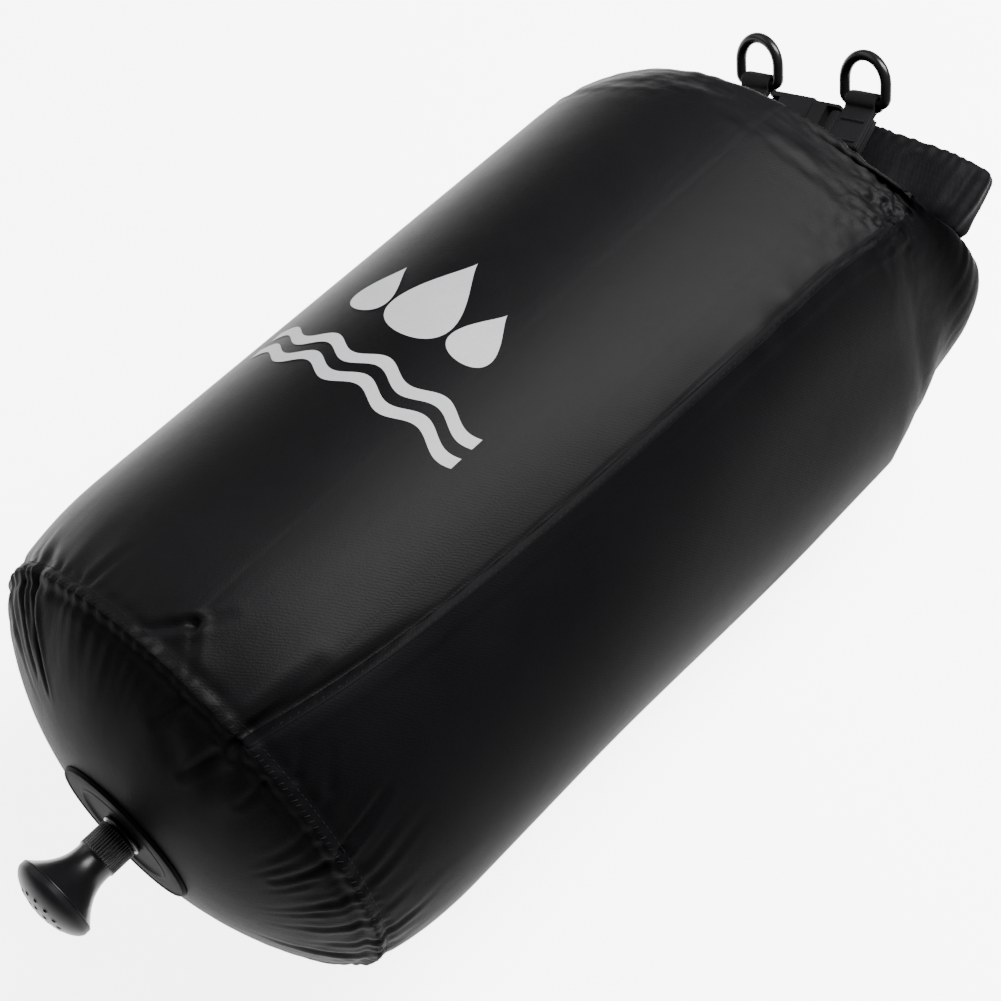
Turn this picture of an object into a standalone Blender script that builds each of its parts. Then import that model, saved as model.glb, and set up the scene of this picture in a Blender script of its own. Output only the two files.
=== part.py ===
"""Roll-top pocket shower: a soft dry bag of about ten litres with a screw-open shower rose on its base.

Metres, Z up. The filled bag lies on its side on Z = 0, with its axis along X, the rose towards -X and
the rolled and buckled mouth towards +X.
"""
import math

import bmesh
import bpy
from mathutils import Matrix, Vector

# ---- driving dimensions: bag ----
BAG_RADIUS = 0.093
SEAM_RADIUS = 0.0865
RESTING_SQUASH = 0.004
AXIS_Z = BAG_RADIUS - RESTING_SQUASH
SEAM_X = -0.150
SHOULDER_X = SEAM_X + 0.266
SHOULDER_SKEW = 0.009
SWELL_LENGTH = 0.045
FABRIC = 0.0008
DOME_HEIGHT = 0.0305
DOME_POWER = (2.1, 0.8)
DOME_FLAT_RADIUS = 0.0165
DIMPLE = 0.0015
DIMPLE_EDGE = 0.0110
GAP = 0.0003
BAG_SIDES = 72
TAPE_WIDTH = 0.012
TAPE_THICKNESS = 0.0004
SIDE_SEAM_START = math.radians(26.0)
SIDE_SEAM_TWIST = math.radians(13.0)

# ---- driving dimensions: rolled mouth and its frame (x to the left, y to the front, z along the bag) ----
FLAT_ANGLE = math.radians(22.0)
CLOSURE_TILT = math.radians(28.0)
CLOSURE_SWING = math.radians(6.0)
CLOSURE_CENTRE = Vector((SEAM_X + 0.330, -0.015, AXIS_Z + 0.029))
ROLL_HEIGHT = 0.026
ROLL_THICKNESS = 0.008
ROLL_SLOT = 0.0022
STRIP_THICKNESS = 0.0016
STRIP_HEIGHT = 0.024
THROAT_DROP = 0.0145
THROAT_HALF_WIDTH = 0.061
THROAT_HALF_DEPTH = 0.022
THROAT_CENTRE_Y = 0.006
BACK_POINTS = [(0.0, -0.0120), (0.030, -0.0105), (0.050, -0.0055)]
FOLD_POINTS = [(0.0590, -0.0022), (0.0632, 0.0035), (0.0592, 0.0092)]
ARM_POINTS = [(0.0460, 0.0150), (0.0345, 0.0208)]
ARM_END = (0.0225, 0.0240)

# ---- driving dimensions: webbing, rings and buckle ----
WEBBING_WIDTH = 0.014
WEBBING = 0.0013
LOOP_CLEARANCE = 0.0003
TAIL_LENGTH = 0.017
RING_WIRE = 0.0020
RING_HALF_WIDTH = 0.0097
RING_HEIGHT = 0.0168
RING_BAR_X = 0.0264
RING_BAR_Z = 0.0175
RING_TAIL_LENGTH = 0.019
RING_LEAN = math.radians(42.0)
BUCKLE_Y = 0.0298
CLASP_X = 0.0030
BUCKLE_Z = 0.0052
BUCKLE_HALF_LENGTH = 0.0175
BUCKLE_WIDTH = 0.0200
BUCKLE_THICKNESS = 0.0085
SOCKET_MOUTH_X = -0.0046
BAR_X = 0.0157
BAR_HALF = 0.0013
BAR_HOLE_RADIUS = 0.0021
SLOT_X = (0.0118, 0.0144)
CAVITY_END_X = 0.0102
CAVITY_HALF_WIDTH = 0.0084
CAVITY_HALF_DEPTH = 0.0026
WINDOW_X = (0.0008, 0.0092)
PLUG_FACE_X = -0.0050
PLUG_WIDTH = 0.0184
TONGUE_END_X = 0.0072
TONGUE_HALF_WIDTH = 0.0023
TONGUE_HALF_DEPTH = 0.0018
PRONG_ROOT_X = -0.0087
PRONG_INNER = 0.0057
PRONG_OUTER = 0.0077
PRONG_TIP_X = 0.0086
BARB_X = 0.0013
BARB_OUTER = 0.00975
PRONG_HALF_DEPTH = 0.0022
PRONG_PIVOT = (-0.0078, 0.0067)
NOTCH_INNER = 0.0054

# ---- driving dimensions: shower, measured outwards from the base seam along the bag axis ----
TURNED_SIDES = 72
SMALL_SIDES = 36
PATCH_RADIUS = 0.0285
PATCH = 0.0006
PATCH_RIM = 0.0005
PATCH_GAP = 0.00025
SPIGOT_RADIUS = 0.0052
SPIGOT_BORE = 0.0036
SPIGOT_TIP_Z = 0.0460
FLANGE_RADIUS = 0.0150
FLANGE = 0.0016
GASKET = 0.0012
NUT_RADIUS = 0.0080
NUT_HEIGHT = 0.0014
COLLAR_RADIUS = 0.0076
RIB_DEPTH = 0.0004
HEAD_BORE = 0.0056
COLLAR_LENGTH = 0.0105
FLARE_END_Z = 0.0575
ROSE_RADIUS = 0.0154
ROSE_PLATE = 0.0016
ROSE_BULGE = 0.0062
ROSE_HOLE = 0.0006
DRILL_LENGTH = 0.020
SEAL_RADIUS = 0.0046
STEM_RADIUS = 0.0016
STEM_FOOT = 0.0008
STEM_FOOT_RADIUS = 0.0035
O_RING_WIRE = 0.00042
GROOVE_Z = (0.0420, 0.0450)
GROOVE_RADIUS = 0.0044

# ---- names and plain colours ----
BLACK_CLOTH = (0.022, 0.023, 0.025)
GREY_CLOTH = (0.035, 0.036, 0.038)
BLACK_PLASTIC = (0.012, 0.012, 0.013)


def clear_scene():
    for item in list(bpy.data.objects):
        bpy.data.objects.remove(item, do_unlink=True)


def new_collection(name):
    collection = bpy.data.collections.new(name)
    bpy.context.scene.collection.children.link(collection)
    return collection


def material(name, colour, roughness):
    made = bpy.data.materials.new(name)
    made.use_nodes = True
    shader = made.node_tree.nodes["Principled BSDF"]
    shader.inputs["Base Color"].default_value = (*colour, 1.0)
    shader.inputs["Roughness"].default_value = roughness
    shader.inputs["Metallic"].default_value = 0.0
    return made


def add_part(name, mesh, colour, roughness, parent=None, smooth=False):
    part = bpy.data.objects.new(name, mesh)
    PARTS.objects.link(part)
    mesh.materials.clear()
    mesh.materials.append(material(name, colour, roughness))
    part.parent = parent
    if smooth:
        mesh.shade_smooth()
    return part


def mesh_from(builder, name):
    """A mesh filled by a function that is given an empty bmesh."""
    work = bmesh.new()
    builder(work)
    mesh = bpy.data.meshes.new(name)
    work.to_mesh(mesh)
    work.free()
    return mesh


def add_empty(name, matrix):
    empty = bpy.data.objects.new(name, None)
    PARTS.objects.link(empty)
    empty.matrix_world = matrix
    return empty


def add_cutter(name, mesh, parent):
    cutter = bpy.data.objects.new(name, mesh)
    CUTTERS.objects.link(cutter)
    cutter.parent = parent
    cutter.hide_render = True
    cutter.display_type = "WIRE"
    return cutter


def cut(part, cutter):
    step = part.modifiers.new(cutter.name, "BOOLEAN")
    step.operation = "DIFFERENCE"
    step.solver = "EXACT"
    step.object = cutter


def box_mesh(name, low, high):
    """A box between two corners."""
    low, high = Vector(low), Vector(high)

    def build(work):
        bmesh.ops.create_cube(work, size=1.0)
        bmesh.ops.scale(work, vec=high - low, verts=work.verts)
        bmesh.ops.translate(work, vec=(high + low) / 2, verts=work.verts)

    return mesh_from(build, name)


def flat_mesh(name, outlines, half_depth):
    """A flat outline, with any holes, extruded both ways. The outlines lie in X and Y."""
    curve = bpy.data.curves.new(name, "CURVE")
    curve.dimensions = "2D"
    curve.fill_mode = "BOTH"
    curve.extrude = half_depth
    for outline in outlines:
        spline = curve.splines.new("POLY")
        spline.points.add(len(outline) - 1)
        spline.use_cyclic_u = True
        for point, place in zip(spline.points, outline):
            point.co = (place[0], place[1], 0.0, 1.0)
    holder = bpy.data.objects.new(name, curve)
    PARTS.objects.link(holder)
    depsgraph = bpy.context.evaluated_depsgraph_get()
    mesh = bpy.data.meshes.new_from_object(holder.evaluated_get(depsgraph))
    bpy.data.objects.remove(holder, do_unlink=True)
    work = bmesh.new()
    work.from_mesh(mesh)
    bmesh.ops.remove_doubles(work, verts=work.verts, dist=1e-6)
    bmesh.ops.recalc_face_normals(work, faces=work.faces)
    work.to_mesh(mesh)
    work.free()
    return mesh


def arc(centre, radius, start, end, steps):
    """Points along an arc; angles in degrees."""
    turns = [math.radians(start + (end - start) * k / steps) for k in range(steps + 1)]
    return [(centre[0] + radius * math.cos(a), centre[1] + radius * math.sin(a)) for a in turns]


def turned(name, profile, colour, roughness, parent, closed=True, sides=TURNED_SIDES):
    """A Screw of a profile of (radius, height) points round Z, running down its outer side."""
    mesh = bpy.data.meshes.new(name)
    count = len(profile)
    edges = [(k, k + 1) for k in range(count - 1)]
    if closed:
        edges.append((count - 1, 0))
    mesh.from_pydata([(radius, 0.0, height) for radius, height in profile], edges, [])
    part = add_part(name, mesh, colour, roughness, parent)
    screw = part.modifiers.new("turn", "SCREW")
    screw.steps = sides
    screw.render_steps = sides
    screw.use_merge_vertices = True
    screw.merge_threshold = 0.00001
    screw.use_smooth_shade = True
    return part


# ---- bag ----
def bag_radius(x):
    """Radius of the filled tube: drawn in at the base seam and swelling over the first few centimetres."""
    reach = min(max((x - SEAM_X) / SWELL_LENGTH, 0.0), 1.0)
    return SEAM_RADIUS + (BAG_RADIUS - SEAM_RADIUS) * (1.0 - (1.0 - reach) ** 2.4)


def closure_matrix():
    """The rolled mouth's frame: x to the left end of the roll, y to its buckled front, z outwards."""
    left = Vector((0.0, math.cos(FLAT_ANGLE), -math.sin(FLAT_ANGLE)))
    front = Vector((0.0, math.sin(FLAT_ANGLE), math.cos(FLAT_ANGLE)))
    out = Vector((1.0, 0.0, 0.0))
    tilted_out = out * math.cos(CLOSURE_TILT) + front * math.sin(CLOSURE_TILT)
    tilted_front = front * math.cos(CLOSURE_TILT) - out * math.sin(CLOSURE_TILT)
    swung_left = left * math.cos(CLOSURE_SWING) - tilted_front * math.sin(CLOSURE_SWING)
    swung_front = tilted_front * math.cos(CLOSURE_SWING) + left * math.sin(CLOSURE_SWING)
    rows = Matrix((swung_left, swung_front, tilted_out)).transposed()
    return Matrix.Translation(CLOSURE_CENTRE) @ rows.to_4x4()


def bag_sections():
    """Centre, left and front half-axes and lean of each cross-section from the base seam to the throat."""
    left = Vector((0.0, math.cos(FLAT_ANGLE), -math.sin(FLAT_ANGLE)))
    front = Vector((0.0, math.sin(FLAT_ANGLE), math.cos(FLAT_ANGLE)))
    rows = []
    for share in (0.0, 0.015, 0.04, 0.075, 0.12, 0.18, 0.30, 0.45, 0.60, 0.75, 0.88, 1.0):
        x = SEAM_X + (SHOULDER_X - SEAM_X) * share
        lean = SHOULDER_SKEW * share ** 4
        rows.append((Vector((x, 0.0, AXIS_Z)), left * bag_radius(x), front * bag_radius(x), lean))
    end = closure_matrix()
    end_centre = end @ Vector((0.0, THROAT_CENTRE_Y, -THROAT_DROP))
    end_left, end_front = end.col[0].to_3d(), end.col[1].to_3d()
    start_centre = Vector((SHOULDER_X, 0.0, AXIS_Z))
    steps = 10
    for k in range(1, steps + 1):
        turn = math.pi / 2 * k / steps
        rise, fall = math.sin(turn), max(math.cos(turn), 0.0)
        width = THROAT_HALF_WIDTH + (BAG_RADIUS - THROAT_HALF_WIDTH) * fall ** 0.75
        depth = THROAT_HALF_DEPTH + (BAG_RADIUS - THROAT_HALF_DEPTH) * fall ** 0.45
        bend = rise ** 4
        across = left.lerp(end_left, bend).normalized()
        forward = front.lerp(end_front, bend).normalized()
        centre = start_centre.lerp(end_centre, bend)
        centre.x = start_centre.x + (end_centre.x - start_centre.x) * rise
        rows.append((centre, across * width, forward * depth, SHOULDER_SKEW * fall))
    return rows


def bag_body():
    def build(work):
        rings = []
        for centre, across, forward, lean in bag_sections():
            ring = []
            for k in range(BAG_SIDES):
                angle = math.tau * k / BAG_SIDES
                place = centre + across * math.cos(angle) + forward * math.sin(angle)
                place.x -= lean * math.cos(angle)
                place.z = max(place.z, 0.0)
                ring.append(work.verts.new(place))
            rings.append(ring)
        for lower, upper in zip(rings, rings[1:]):
            for k in range(BAG_SIDES):
                after = (k + 1) % BAG_SIDES
                work.faces.new((lower[k], lower[after], upper[after], upper[k]))
        bmesh.ops.recalc_face_normals(work, faces=work.faces)

    part = add_part("bag_body", mesh_from(build, "bag_body"), BLACK_CLOTH, 0.55, smooth=True)
    wall = part.modifiers.new("wall", "SOLIDIFY")
    wall.thickness = FABRIC
    wall.offset = -1.0


def side_seam_tape():
    """Tape welded along the inside of the long seam, which twists a little round the bag."""
    steps = 16
    inset = FABRIC + GAP

    def build(work):
        rows = []
        for k in range(steps + 1):
            share = k / steps
            x = SEAM_X + 0.016 + (SHOULDER_X - SEAM_X - 0.020) * share
            radius = bag_radius(x) - inset
            middle = SIDE_SEAM_START + SIDE_SEAM_TWIST * share
            half = TAPE_WIDTH / 2 / radius
            angles = [middle - half, middle, middle + half]
            places = [(x, -radius * math.sin(a), AXIS_Z + radius * math.cos(a)) for a in angles]
            rows.append([work.verts.new(place) for place in places])
        for lower, upper in zip(rows, rows[1:]):
            for k in range(2):
                work.faces.new((lower[k], lower[k + 1], upper[k + 1], upper[k]))
        bmesh.ops.recalc_face_normals(work, faces=work.faces)
        if sum((face.normal.z for face in work.faces), 0.0) < 0:
            bmesh.ops.reverse_faces(work, faces=work.faces)

    part = add_part("side_seam_tape", mesh_from(build, "side_seam_tape"), GREY_CLOTH, 0.6)
    wall = part.modifiers.new("wall", "SOLIDIFY")
    wall.thickness = TAPE_THICKNESS
    wall.offset = -1.0


def dome_height(radius):
    """Height of the base panel's outer surface over the seam plane. The flange draws its middle in, flat."""
    reach = max(radius, DOME_FLAT_RADIUS) / SEAM_RADIUS
    beyond = max(radius - DOME_FLAT_RADIUS, 0.0) / DIMPLE_EDGE
    drawn_in = DIMPLE * max(1.0 - beyond, 0.0) ** 2
    return DOME_HEIGHT * (1.0 - min(reach, 1.0) ** DOME_POWER[0]) ** DOME_POWER[1] - drawn_in


def dome_profile(inner, outer, steps):
    """(radius, height) points of the panel's outer surface, from the inner radius out to the outer one."""
    radii = [inner + (outer - inner) * math.sin(math.pi / 2 * k / steps) for k in range(steps + 1)]
    return [(radius, dome_height(radius)) for radius in radii]


def base_panel(shower):
    outside = dome_profile(SPIGOT_RADIUS + 2 * GAP, SEAM_RADIUS, 12)
    outside[-1] = (SEAM_RADIUS, GAP)
    inside = [(radius - FABRIC * 0.6, height - FABRIC) for radius, height in outside]
    inside[0] = (outside[0][0], outside[0][1] - FABRIC)
    inside[-1] = (SEAM_RADIUS - FABRIC, GAP)
    turned("base_panel", outside + inside[::-1], BLACK_CLOTH, 0.5, shower)


def base_seam_tape(shower):
    outer = SEAM_RADIUS - FABRIC - GAP
    low, high = -TAPE_WIDTH, -GAP
    profile = [(outer, high), (outer, low), (outer - TAPE_THICKNESS, low), (outer - TAPE_THICKNESS, high)]
    turned("base_seam_tape", profile, GREY_CLOTH, 0.6, shower)


# ---- shower ----
def outlet_patch(shower):
    surface = dome_profile(SPIGOT_RADIUS + 2 * GAP, PATCH_RADIUS, 6)
    inside = [(radius, height + PATCH_GAP) for radius, height in surface]
    outside = [(radius, height + PATCH_GAP + PATCH) for radius, height in surface]
    rim_radius = PATCH_RADIUS - 0.0012
    rim_height = dome_height(rim_radius) + PATCH_GAP + PATCH
    outside[-1:] = [
        (rim_radius, rim_height),
        (rim_radius + 0.0003, rim_height + PATCH_RIM),
        (PATCH_RADIUS - 0.0003, outside[-1][1] + PATCH_RIM),
        (PATCH_RADIUS, outside[-1][1]),
    ]
    outside = [point for point in outside[:-4] if point[0] < rim_radius - 0.0004] + outside[-4:]
    turned("outlet_patch", outside + inside[::-1], BLACK_PLASTIC, 0.2, shower)


def panel_top():
    return dome_height(0.0)


def spigot(shower):
    under = panel_top() - FABRIC - GAP - GASKET - GAP
    profile = [
        (SPIGOT_BORE, SPIGOT_TIP_Z),
        (SPIGOT_RADIUS - 0.0004, SPIGOT_TIP_Z),
        (SPIGOT_RADIUS, SPIGOT_TIP_Z - 0.0004),
        (SPIGOT_RADIUS, GROOVE_Z[1]),
        (GROOVE_RADIUS, GROOVE_Z[1]),
        (GROOVE_RADIUS, GROOVE_Z[0]),
        (SPIGOT_RADIUS, GROOVE_Z[0]),
        (SPIGOT_RADIUS, under),
        (FLANGE_RADIUS, under),
        (FLANGE_RADIUS, under - FLANGE),
        (SPIGOT_BORE, under - FLANGE),
    ]
    turned("spigot", profile, BLACK_PLASTIC, 0.35, shower, sides=SMALL_SIDES)


def ring_profile(inner, outer, low, high, edge):
    """A plain ring's profile with its outer corners eased."""
    return [
        (inner, high),
        (outer - edge, high),
        (outer, high - edge),
        (outer, low + edge),
        (outer - edge, low),
        (inner, low),
    ]


def flange_gasket(shower):
    high = panel_top() - FABRIC - GAP
    profile = ring_profile(SPIGOT_RADIUS + GAP, FLANGE_RADIUS, high - GASKET, high, 0.0003)
    turned("flange_gasket", profile, BLACK_PLASTIC, 0.8, shower, sides=SMALL_SIDES)


def nut_low():
    return panel_top() + PATCH_GAP + PATCH + PATCH_GAP


def clamp_nut(shower):
    profile = ring_profile(SPIGOT_RADIUS + GAP, NUT_RADIUS, nut_low(), nut_low() + NUT_HEIGHT, 0.0006)
    turned("clamp_nut", profile, BLACK_PLASTIC, 0.45, shower, sides=SMALL_SIDES)


def o_ring(shower):
    centre = (SPIGOT_RADIUS - GAP + 0.0001, GROOVE_Z[0] + O_RING_WIRE + GAP)
    profile = arc(centre, O_RING_WIRE, 90.0, -240.0, 11)
    turned("o_ring", profile, BLACK_PLASTIC, 0.7, shower, sides=SMALL_SIDES)


def collar_low():
    return nut_low() + NUT_HEIGHT + GAP


def shower_head(shower):
    """The ribbed collar runs into a trumpet flare that ends in a thin rim round the rose."""
    low = collar_low()
    neck = low + COLLAR_LENGTH
    flare_steps = 9
    flare = []
    for k in range(flare_steps + 1):
        share = k / flare_steps
        radius = COLLAR_RADIUS - RIB_DEPTH + (ROSE_RADIUS - COLLAR_RADIUS + RIB_DEPTH) * share ** 2.1
        flare.append((radius, neck + 0.0004 + (FLARE_END_Z - neck - 0.0004) * share ** 0.92))
    outside = flare[::-1]
    outside += [(COLLAR_RADIUS, neck), (COLLAR_RADIUS, low + 0.0004), (COLLAR_RADIUS - 0.0004, low)]
    chamber = [(HEAD_BORE, low), (HEAD_BORE, SPIGOT_TIP_Z + 0.0026)]
    chamber += [(0.0078, SPIGOT_TIP_Z + 0.0050), (0.0134, FLARE_END_Z - 0.0006), (0.0140, FLARE_END_Z)]
    part = turned("shower_head", outside + chamber, BLACK_PLASTIC, 0.3, shower)
    ribs_to_collar(part, low, neck)


def ribs_to_collar(part, low, high):
    """Every other rung of the turned collar is drawn in, which leaves half as many grip ribs as sides."""
    depsgraph = bpy.context.evaluated_depsgraph_get()
    mesh = bpy.data.meshes.new_from_object(part.evaluated_get(depsgraph))
    part.modifiers.clear()
    for vertex in mesh.vertices:
        x, y, z = vertex.co
        radius = math.hypot(x, y)
        on_collar = low - 1e-5 < z < high + 1e-5 and radius > COLLAR_RADIUS - 0.5 * RIB_DEPTH
        rung = round(math.atan2(y, x) / math.tau * TURNED_SIDES)
        if on_collar and rung % 2:
            drawn_in = (COLLAR_RADIUS - RIB_DEPTH) / radius
            vertex.co = (x * drawn_in, y * drawn_in, z)
    part.data = mesh


def rose_height(radius):
    return ROSE_BULGE * (1.0 - (radius / ROSE_RADIUS) ** 2) ** 0.7


def rose_plate(shower):
    base = FLARE_END_Z + GAP + ROSE_PLATE
    radii = [ROSE_RADIUS * k / 7 for k in range(7)]
    top = [(radius, base + rose_height(radius)) for radius in radii]
    top += [(ROSE_RADIUS - 0.0006, base), (ROSE_RADIUS, base - 0.0006), (ROSE_RADIUS, base - ROSE_PLATE)]
    under = [(radius, base - ROSE_PLATE + rose_height(radius)) for radius in radii[::-1]]
    under[0] = (radii[-1], base - ROSE_PLATE)
    part = turned("rose_plate", top + under, BLACK_PLASTIC, 0.35, shower, closed=False)

    def build(work):
        for count, reach in ((1, 0.0), (6, 0.0042), (12, 0.0086)):
            for k in range(count):
                angle = math.tau * k / count
                place = Matrix.Translation((reach * math.cos(angle), reach * math.sin(angle), base))
                bmesh.ops.create_cone(
                    work,
                    cap_ends=True,
                    segments=8,
                    radius1=ROSE_HOLE,
                    radius2=ROSE_HOLE,
                    depth=DRILL_LENGTH,
                    matrix=place,
                )

    cut(part, add_cutter("rose_holes", mesh_from(build, "rose_holes"), shower))


def valve_parts(shower):
    seal_low = SPIGOT_TIP_Z + GAP
    seal_high = seal_low + 0.0014
    eased = seal_high - 0.0004
    seal = [(0.0, seal_high), (SEAL_RADIUS - 0.0004, seal_high), (SEAL_RADIUS, eased)]
    seal += [(SEAL_RADIUS, seal_low), (0.0, seal_low)]
    turned("valve_seal", seal, BLACK_PLASTIC, 0.8, shower, closed=False, sides=SMALL_SIDES)
    foot = seal_high + GAP
    top = FLARE_END_Z + GAP + rose_height(0.0) - 2 * GAP
    step = foot + STEM_FOOT
    stem = [(0.0, top), (STEM_RADIUS, top), (STEM_RADIUS, step), (STEM_FOOT_RADIUS, step)]
    stem += [(STEM_FOOT_RADIUS, foot), (0.0, foot)]
    turned("valve_stem", stem, BLACK_PLASTIC, 0.4, shower, closed=False, sides=SMALL_SIDES)


# ---- rolled mouth ----
def smooth_path(points, steps):
    """A Catmull-Rom path through the points, steps to a span."""
    ends = [points[0]] + list(points) + [points[-1]]
    path = []
    for k in range(len(points) - 1):
        a, b, c, d = (Vector(p) for p in ends[k:k + 4])
        for j in range(steps):
            t = j / steps
            bend = 2 * b + (c - a) * t + (2 * a - 5 * b + 4 * c - d) * t ** 2
            path.append((bend + (3 * b - a - 3 * c + d) * t ** 3) / 2)
    path.append(Vector(points[-1]))
    return path


def ribbon_outline(path, thickness):
    """The outline of a band that follows a path."""
    sides = ([], [])
    last = len(path) - 1
    for k, place in enumerate(path):
        along = (path[min(k + 1, last)] - path[max(k - 1, 0)]).normalized()
        across = Vector((-along.y, along.x)) * thickness / 2
        sides[0].append(place + across)
        sides[1].append(place - across)
    return sides[0] + sides[1][::-1]


def shortened(path):
    """The path with its two end points drawn in, so that a strip clears the ends of its slot."""
    first = path[0] + (path[1] - path[0]).normalized() * GAP
    last = path[-1] + (path[-2] - path[-1]).normalized() * GAP
    return [first] + path[1:-1] + [last]


def mirrored(points):
    return [(-x, y) for x, y in points]


def roll_piece(name, strip_name, points, closure):
    """One stretch of the rolled fabric, hollow along its middle, with the stiffener that it is rolled round."""
    path = smooth_path(points, 4)
    outer = ribbon_outline(path, ROLL_THICKNESS)
    slot = ribbon_outline(path[1:-1], ROLL_SLOT)
    mesh = flat_mesh(name, [outer, slot], ROLL_HEIGHT / 2)
    add_part(name, mesh, BLACK_CLOTH, 0.6, closure)
    strip = ribbon_outline(shortened(path[1:-1]), STRIP_THICKNESS)
    add_part(strip_name, flat_mesh(strip_name, [strip], STRIP_HEIGHT / 2), GREY_CLOTH, 0.5, closure)


def rolled_mouth(closure):
    left_end = (ARM_END[0] + CLASP_X, ARM_END[1])
    right_end = (ARM_END[0] - CLASP_X, ARM_END[1])
    left_arm = (BACK_POINTS[1:] + FOLD_POINTS + ARM_POINTS + [left_end])[::-1]
    roll_piece("roll_top", "stiffener_strip", left_arm + BACK_POINTS[:1] + mirrored(BACK_POINTS[1:]), closure)
    past_fold = (BACK_POINTS[-1][0] + 0.0008, BACK_POINTS[-1][1] + 0.0004)
    right_arm = mirrored([past_fold] + FOLD_POINTS + ARM_POINTS + [right_end])
    roll_piece("roll_arm_right", "stiffener_end", right_arm, closure)


def throat(closure):
    """The folded fabric that closes the bag under the roll."""
    half_width = THROAT_HALF_WIDTH - FABRIC - 2 * GAP
    half_depth = THROAT_HALF_DEPTH - FABRIC - 2 * GAP
    turns = [math.tau * k / 48 for k in range(48)]
    outline = [(half_width * math.cos(a), half_depth * math.sin(a)) for a in turns]
    part = add_part("throat", flat_mesh("throat", [outline], FABRIC / 2), BLACK_CLOTH, 0.6, closure)
    part.location = (0.0, THROAT_CENTRE_Y, -THROAT_DROP)


# ---- webbing and rings ----
def loop_outline(hole_radius, tail):
    """A doubled strap round a bar at the origin, with its sewn tail along +X."""
    outer = hole_radius + WEBBING
    meet = math.degrees(math.asin(WEBBING / outer))
    around = arc((0.0, 0.0), outer, meet, 360.0 - meet, 22)
    return [around + [(tail, -WEBBING), (tail, WEBBING)], arc((0.0, 0.0), hole_radius, 0.0, 345.0, 23)]


def buckle_webbing(closure):
    for side, name in ((1, "webbing_left"), (-1, "webbing_right")):
        mesh = flat_mesh(name, loop_outline(BAR_HOLE_RADIUS, TAIL_LENGTH), WEBBING_WIDTH / 2)
        part = add_part(name, mesh, GREY_CLOTH, 0.7, closure)
        part.location = (CLASP_X + side * BAR_X, BUCKLE_Y, BUCKLE_Z)
        part.rotation_euler = (0.0, 0.0, 0.0 if side > 0 else math.pi)


def ring_y():
    """The ring loops' tails lie on the buckle webbing's tails."""
    return BUCKLE_Y + WEBBING + GAP + WEBBING


def ring_webbing(closure):
    hole = RING_WIRE + LOOP_CLEARANCE
    for side, name in ((1, "ring_loop_left"), (-1, "ring_loop_right")):
        mesh = flat_mesh(name, loop_outline(hole, RING_TAIL_LENGTH), WEBBING_WIDTH / 2)
        part = add_part(name, mesh, GREY_CLOTH, 0.7, closure)
        part.location = (CLASP_X + side * RING_BAR_X, ring_y(), RING_BAR_Z)
        part.rotation_euler = (0.0, math.pi / 2, 0.0)


def ring_points():
    """The ring's centre line in X and Z, with its straight bar at the origin."""
    corner = 0.0025
    half = RING_HALF_WIDTH
    arch_z = RING_HEIGHT - half
    points = arc((half - corner, corner), corner, -90.0, 0.0, 3)
    points += arc((0.0, arch_z), half, 0.0, 180.0, 14)
    points += arc((corner - half, corner), corner, 180.0, 270.0, 3)
    return points


def d_rings(closure):
    for side, name in ((1, "d_ring_left"), (-1, "d_ring_right")):
        pivot = add_empty(name + "_axis", Matrix.Identity(4))
        pivot.parent = closure
        pivot.location = (CLASP_X + side * RING_BAR_X, ring_y(), RING_BAR_Z)
        pivot.rotation_euler = (-RING_LEAN, 0.0, 0.0)
        curve = bpy.data.curves.new(name, "CURVE")
        curve.dimensions = "3D"
        curve.bevel_depth = RING_WIRE
        curve.bevel_resolution = 2
        curve.use_fill_caps = True
        points = ring_points()
        spline = curve.splines.new("POLY")
        spline.points.add(len(points) - 1)
        spline.use_cyclic_u = True
        for point, (x, z) in zip(spline.points, points):
            point.co = (x, 0.0, z, 1.0)
        ring = bpy.data.objects.new(name, curve)
        PARTS.objects.link(ring)
        curve.materials.append(material(name, BLACK_PLASTIC, 0.25))
        ring.parent = pivot


# ---- buckle ----
def eased_box(name, low, high, ease, colour, roughness, parent):
    part = add_part(name, box_mesh(name, low, high), colour, roughness, parent)
    bevel = part.modifiers.new("ease", "BEVEL")
    bevel.width = ease
    bevel.segments = 2
    return part


def cut_box(part, name, low, high, parent):
    cut(part, add_cutter(name, box_mesh(name, low, high), parent))


def buckle_socket(buckle):
    half_width, half_depth = BUCKLE_WIDTH / 2, BUCKLE_THICKNESS / 2
    far = 0.02
    part = eased_box(
        "buckle_socket",
        (SOCKET_MOUTH_X, -half_depth, -half_width),
        (BUCKLE_HALF_LENGTH, half_depth, half_width),
        0.0011,
        BLACK_PLASTIC,
        0.5,
        buckle,
    )
    depth, width = CAVITY_HALF_DEPTH, CAVITY_HALF_WIDTH
    cut_box(part, "socket_cavity", (-far, -depth, -width), (CAVITY_END_X, depth, width), buckle)
    cut_box(part, "socket_windows", (WINDOW_X[0], -depth, -far), (WINDOW_X[1], depth, far), buckle)
    slot = WEBBING_WIDTH / 2 + 0.0006
    cut_box(part, "socket_slot", (SLOT_X[0], -far, -slot), (SLOT_X[1], far, slot), buckle)
    waist = (SLOT_X[1] + 2 * BAR_HALF, -far, -slot), (far, -BAR_HALF, slot)
    cut_box(part, "socket_bar_under", (SLOT_X[1] - 0.0001, waist[0][1], -slot), waist[1], buckle)
    cut_box(part, "socket_bar_over", (SLOT_X[1] - 0.0001, BAR_HALF, -slot), (far, far, slot), buckle)
    cut_box(part, "socket_bar_end", waist[0], (far, far, slot), buckle)


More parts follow.
